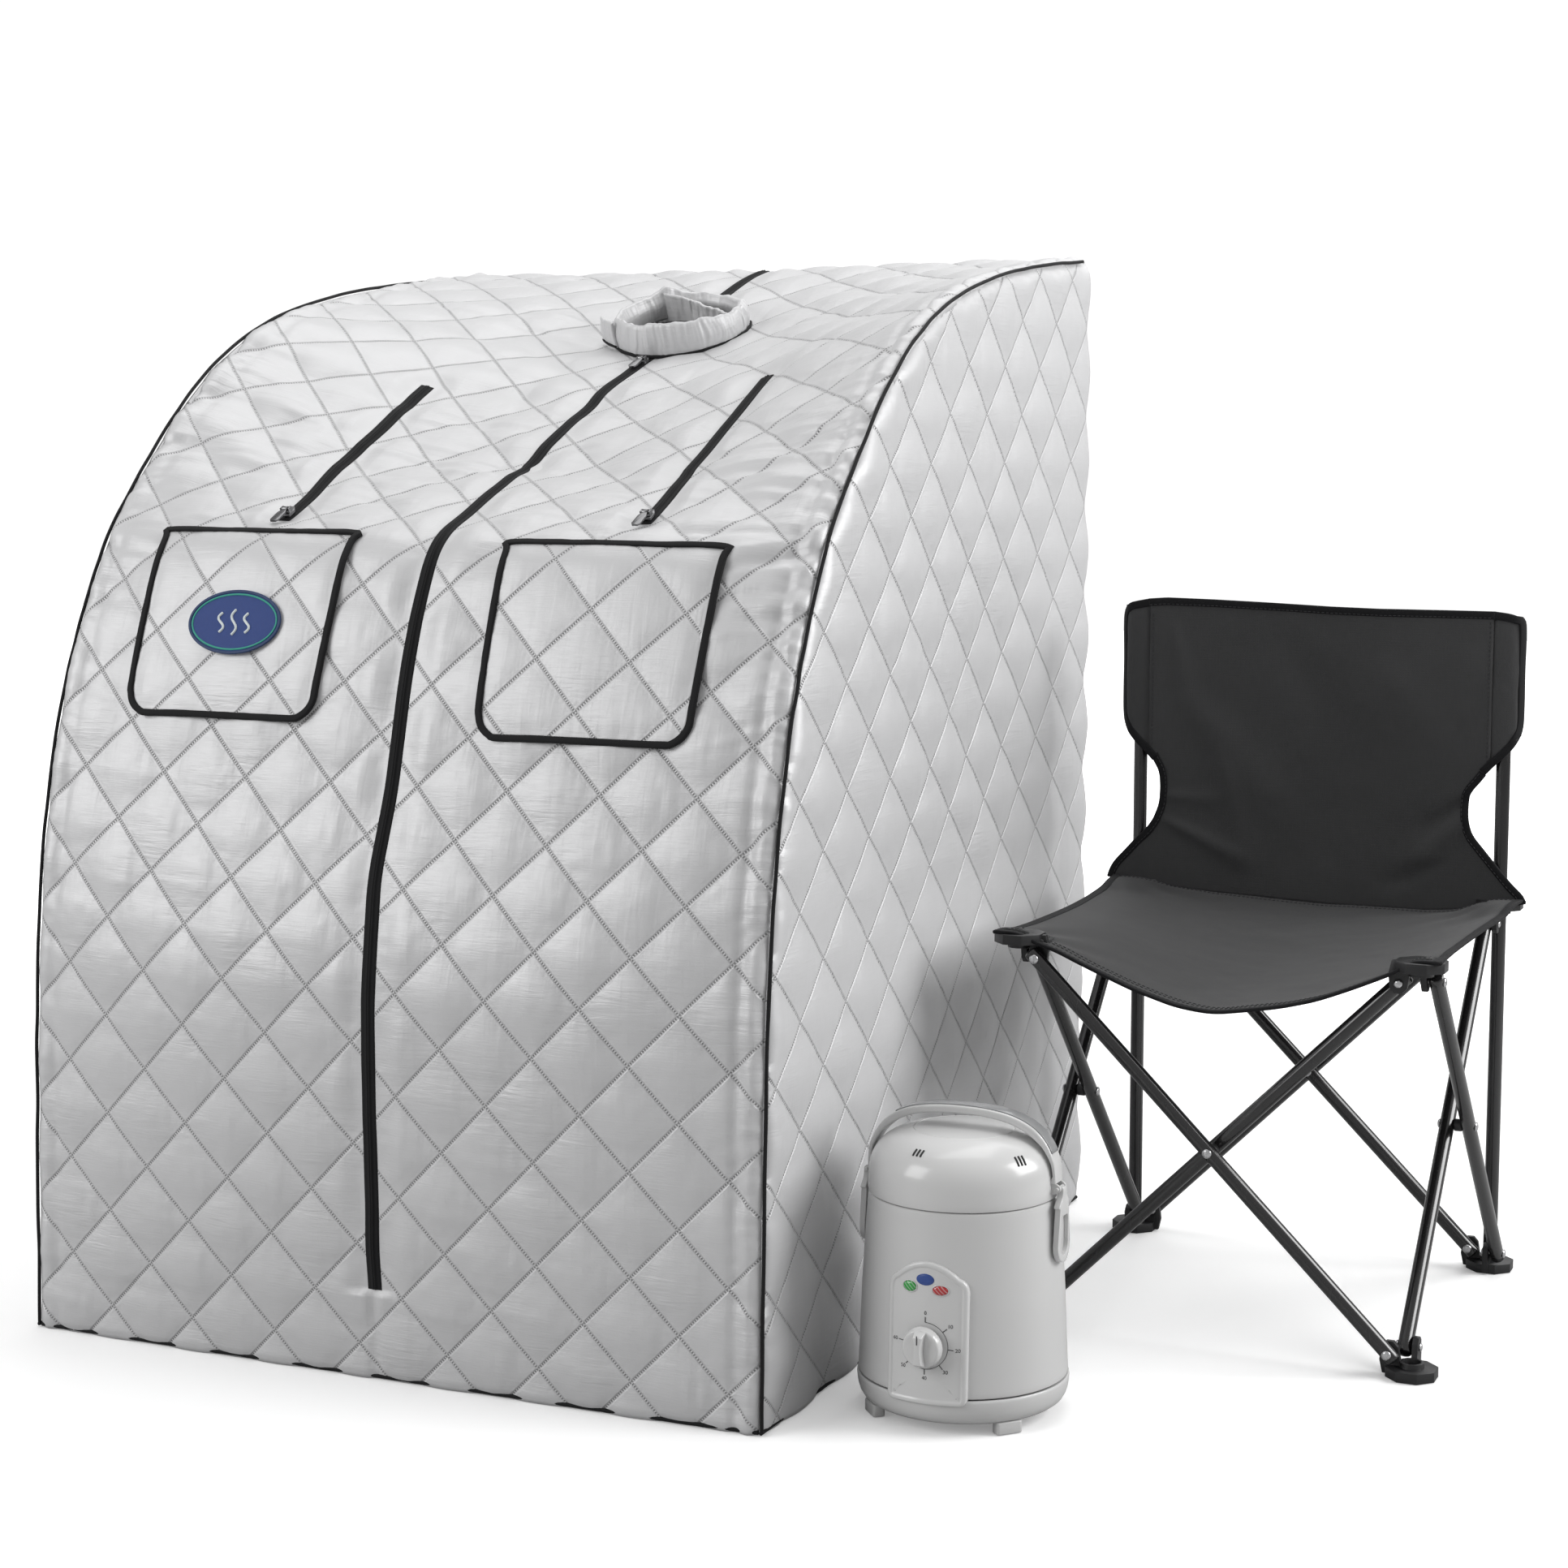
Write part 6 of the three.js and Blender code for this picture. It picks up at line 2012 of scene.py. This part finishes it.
def back_cloth():
    columns, rows = ((150, 130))
    across, up = np.meshgrid(np.linspace(0, 1, columns + 1), np.linspace(0, 1, rows + 1),
                             indexing="ij")
    level = 341 + up * (616 - 341)
    left, right = lookup(BACK_LEFT, level), lookup(BACK_RIGHT, level)
    ease(left, 3)
    ease(right, 3)
    x = left + across * (right - left)
    low, high = lookup(REAR_EDGE, x) - 0.6, lookup(BACK_TOP, x) - 1.2
    z = low + up * (high - low)
    front = np.stack([x, back_y(x, z), z], -1)
    normal = unit(np.cross(np.gradient(front, axis=0), np.gradient(front, axis=1)))
    obj = sheet("chair_back_cloth", front + CHAIR, front - normal * 1.7 + CHAIR, CANVAS,
                np.stack([x, z], -1) / 1000)
    put(obj, "chair_base", "back_sling")
    squash_back(obj)
    # tapes up the free edges, below the sleeves, and one along the top between the sleeves
    for side, column, inwards in (("left", 0, 1), ("right", columns, -1)):
        edge = front[column, :int(rows * 0.475) + 1] + [inwards * 3.0, 0, 0]
        back_tape(f"tape_{side}", f"tape_stitching_{side}", resample(edge[::3], 3.0),
                  [inwards * 2.4, -1.1, 0])
    x = np.linspace(-163, 163, 90)
    z = lookup(BACK_TOP, x) - 3.4
    back_tape("tape_top", "top_stitching", np.stack([x, back_y(x, z), z], 1), [0, -1.1, -2.4])


def back_tape(tape_name, sewing_name, path, sewing_offset):
    tape = sweep("chair_back_" + tape_name, path + CHAIR, BACK_TAPE, BINDING, up=FORWARD)
    squash_back(put(tape, "chair_base"))
    sewing = stitches("chair_back_" + sewing_name, path + CHAIR + sewing_offset, FORWARD)
    squash_back(put(sewing, "chair_base"))


SLEEVE_HALF = 15.4


def sleeve(sign, side, body):
    """tube of cloth closed over a post's top end, cut away at a slant below"""
    count, rows = 40, 60
    post = CHAIR + [sign * CORNER, CORNER, 0]
    angle = np.arange(count) / count * 2 * pi
    part = (np.arange(rows + 1) / rows)[:, None]
    out_x = np.sign(np.cos(angle)) * np.abs(np.cos(angle)) ** 0.8 * SLEEVE_HALF
    out_y = np.sign(np.sin(angle)) * np.abs(np.sin(angle)) ** 0.9 * 8.9
    low = 452 + (CORNER + out_x * sign - 145) * (1.13 if sign > 0 else 1.05)
    high = lookup(BACK_TOP, sign * CORNER + out_x) - 2.0
    z = low + (high - low) * part
    wobble = 1 + 0.10 * fbm(z * 0.025, angle * 1.2 + sign * 3, 4)
    pinch = 1 - 0.12 * smooth(0.9, 1.0, part)
    x, y = out_x * wobble, out_y * wobble * pinch
    radius = np.hypot(x, y)
    shrink = np.maximum(radius - 1.5, TUBE_R + 0.4) / radius
    outer = np.stack([post[0] + x, post[1] + y, z], -1)
    inner = np.stack([post[0] + x * shrink, post[1] + y * shrink, np.minimum(z, 606.2)], -1)
    verts = np.concatenate([outer.reshape(-1, 3), inner.reshape(-1, 3)])
    base, top = (rows + 1) * count, rows * count
    faces = ring_quads(rows + 1, count)
    faces += [(b, a, d, c) for a, b, c, d in ring_quads(rows + 1, count, base)]
    for k in range(count):
        turn = (k + 1) % count
        faces.append((k, base + k, base + turn, turn))
    faces.append(tuple(range(top, top + count)))
    faces.append(tuple(range(base + top, base + top + count))[::-1])
    lay = np.stack([(verts[:, 0] - CHAIR_X) / 1000 + 0.5, verts[:, 2] / 1000], -1)
    put(face_out(build("chair_back_sleeve_" + side, verts, faces, CANVAS, lay, sharp=50)),
        body, "back_sling")
    sleeve_tape(sign, side, body)
    # seam that closes the sleeve
    z = np.linspace(474, 606, 40)
    x = np.full(40, sign * 158.5)
    put(stitches("chair_sleeve_seam_" + side, np.stack([x, back_y(x, z), z], 1) + CHAIR, FORWARD),
        body)


def sleeve_tape(sign, side, body):
    """edge tape over the sleeve's top, down its outer side, then along the slant"""
    inner = sign * 162.0
    path = [(inner, float(back_y(np.array(inner), 608.0)), lookup(BACK_TOP, inner) - 3.4)]
    for out, y, drop in ((2, -8.6, 3.6), (10, -7.2, 4.4)):
        x = sign * (CORNER + out)
        path.append((x, CORNER + y, lookup(BACK_TOP, x) - drop))
    # (x outwards from the sleeve's side, y from the post, z)
    down = [(0, -4.4, 604), (1.0, -3.4, 590), (0.6, -3.2, 560), (0.8, -3.2, 530), (0.3, -3.6, 509),
            (-3, -6.4, 497.5)]
    path += [(sign * (CORNER + SLEEVE_HALF - 1.0 + out), CORNER + y, z) for out, y, z in down]
    path += [(sign * (CORNER + 2), CORNER - 9.0, 485.2), (sign * 163, CORNER - 9.3, 474.5),
             (sign * 155, CORNER - 9.0, 466.0)]
    path = resample(path, 2.5)
    # the tape turns outwards round the side
    up = np.tile(FORWARD, (len(path), 1))
    up[:, 0] = sign * smooth(CORNER + 6, CORNER + 13, np.abs(path[:, 0])) * 1.1
    put(sweep("chair_sleeve_tape_" + side, path + CHAIR, BACK_TAPE, BINDING, up=unit(up)),
        body)


back_cloth()
for sign, side, body in POSTS:
    sleeve(sign, side, body)


# ---------------------------------------------------------------- floor, light, camera (metres)
def studio_floor():
    mat = Mat("floor", rough=0.7)
    tone = mat.mix(mat.noise(mat.co, scale=2.0, detail=3.0), (0.90, 0.90, 0.90),
                   (0.93, 0.93, 0.93))
    # the floor brightens into the white surround away from the object
    distance = mat.out("ShaderNodeVectorMath", {0: mat.co}, output="Value", operation="LENGTH")
    far = mat.step(1.1, 2.3, distance)
    camera_ray = mat.out("ShaderNodeLightPath", output="Is Camera Ray")
    # what it throws back onto the object is held down
    mat.set(Base_Color=mat.mix(camera_ray, (0.42, 0.42, 0.42), tone),
            Emission_Color=(1, 1, 1, 1), Emission_Strength=(0.22 + far) * camera_ray)
    mesh = bpy.data.meshes.new("floor")
    half, z = 9, -0.0005
    corners = [(-half, -half, z), (half, -half, z), (half, half, z), (-half, half, z)]
    mesh.from_pydata(corners, [], [(0, 1, 2, 3)])
    mesh.materials.append(mat.material)
    link_object("floor", mesh)


def studio_world():
    """white to the camera, dimmer as a light"""
    world = bpy.data.worlds.new("studio")
    bpy.context.scene.world = world
    world.use_nodes = True
    tree = world.node_tree
    tree.nodes.clear()
    output = tree.nodes.new("ShaderNodeOutputWorld")
    mix = tree.nodes.new("ShaderNodeMixShader")
    seen, lit = (tree.nodes.new("ShaderNodeBackground") for _ in range(2))
    path = tree.nodes.new("ShaderNodeLightPath")
    for background, strength in ((seen, 1.05), (lit, 0.45)):
        background.inputs["Color"].default_value = (1, 1, 1, 1)
        background.inputs["Strength"].default_value = strength
    tree.links.new(path.outputs["Is Camera Ray"], mix.inputs[0])
    tree.links.new(lit.outputs[0], mix.inputs[1])
    tree.links.new(seen.outputs[0], mix.inputs[2])
    tree.links.new(mix.outputs[0], output.inputs[0])
    bpy.context.scene.view_settings.view_transform = "Standard"


# name, place, point it faces, size, watts
LIGHTS = [
    ("top", (-0.2, 0.7, 3.5), (0.1, 0.1, 0.5), 2.6, 42),
    ("right", (2.6, 0.5, 1.6), (0.35, 0.15, 0.95), 1.5, 58),
    ("left", (-2.5, -2.9, 2.2), (0.0, -0.3, 0.65), 2.4, 78),
    ("back", (0.6, 3.4, 2.6), (0.3, 0.2, 0.5), 2.4, 24)]


def lights():
    for name, place, target, size, power in LIGHTS:
        light = bpy.data.lights.new(name, "AREA")
        light.energy = power
        light.size = size
        obj = link_object(name, light)
        obj.location = place
        aim = Vector(target) - Vector(place)
        obj.rotation_euler = aim.to_track_quat("-Z", "Y").to_euler()


def camera():
    # turned left of +Y, tipped down, and rolled
    turn, tip, roll = radians(24.2), radians(6.75), radians(-0.11)
    aim = Vector((-sin(turn) * cos(tip), cos(turn) * cos(tip), -sin(tip)))
    right = Vector((cos(turn), sin(turn), 0))
    up = right.cross(aim)
    rolled_right = right * cos(roll) + up * sin(roll)
    rolled_up = -right * sin(roll) + up * cos(roll)
    data = bpy.data.cameras.new("camera")
    data.lens = 65.83
    data.sensor_width = 36
    data.clip_start = 0.05
    obj = link_object("camera", data)
    matrix = Matrix((rolled_right, rolled_up, -aim)).transposed().to_4x4()
    matrix.translation = Vector((1.24628, -2.33891, 0.76467))
    obj.matrix_world = matrix
    bpy.context.scene.camera = obj


studio_floor()
studio_world()
lights()
camera()
bpy.context.view_layer.update()
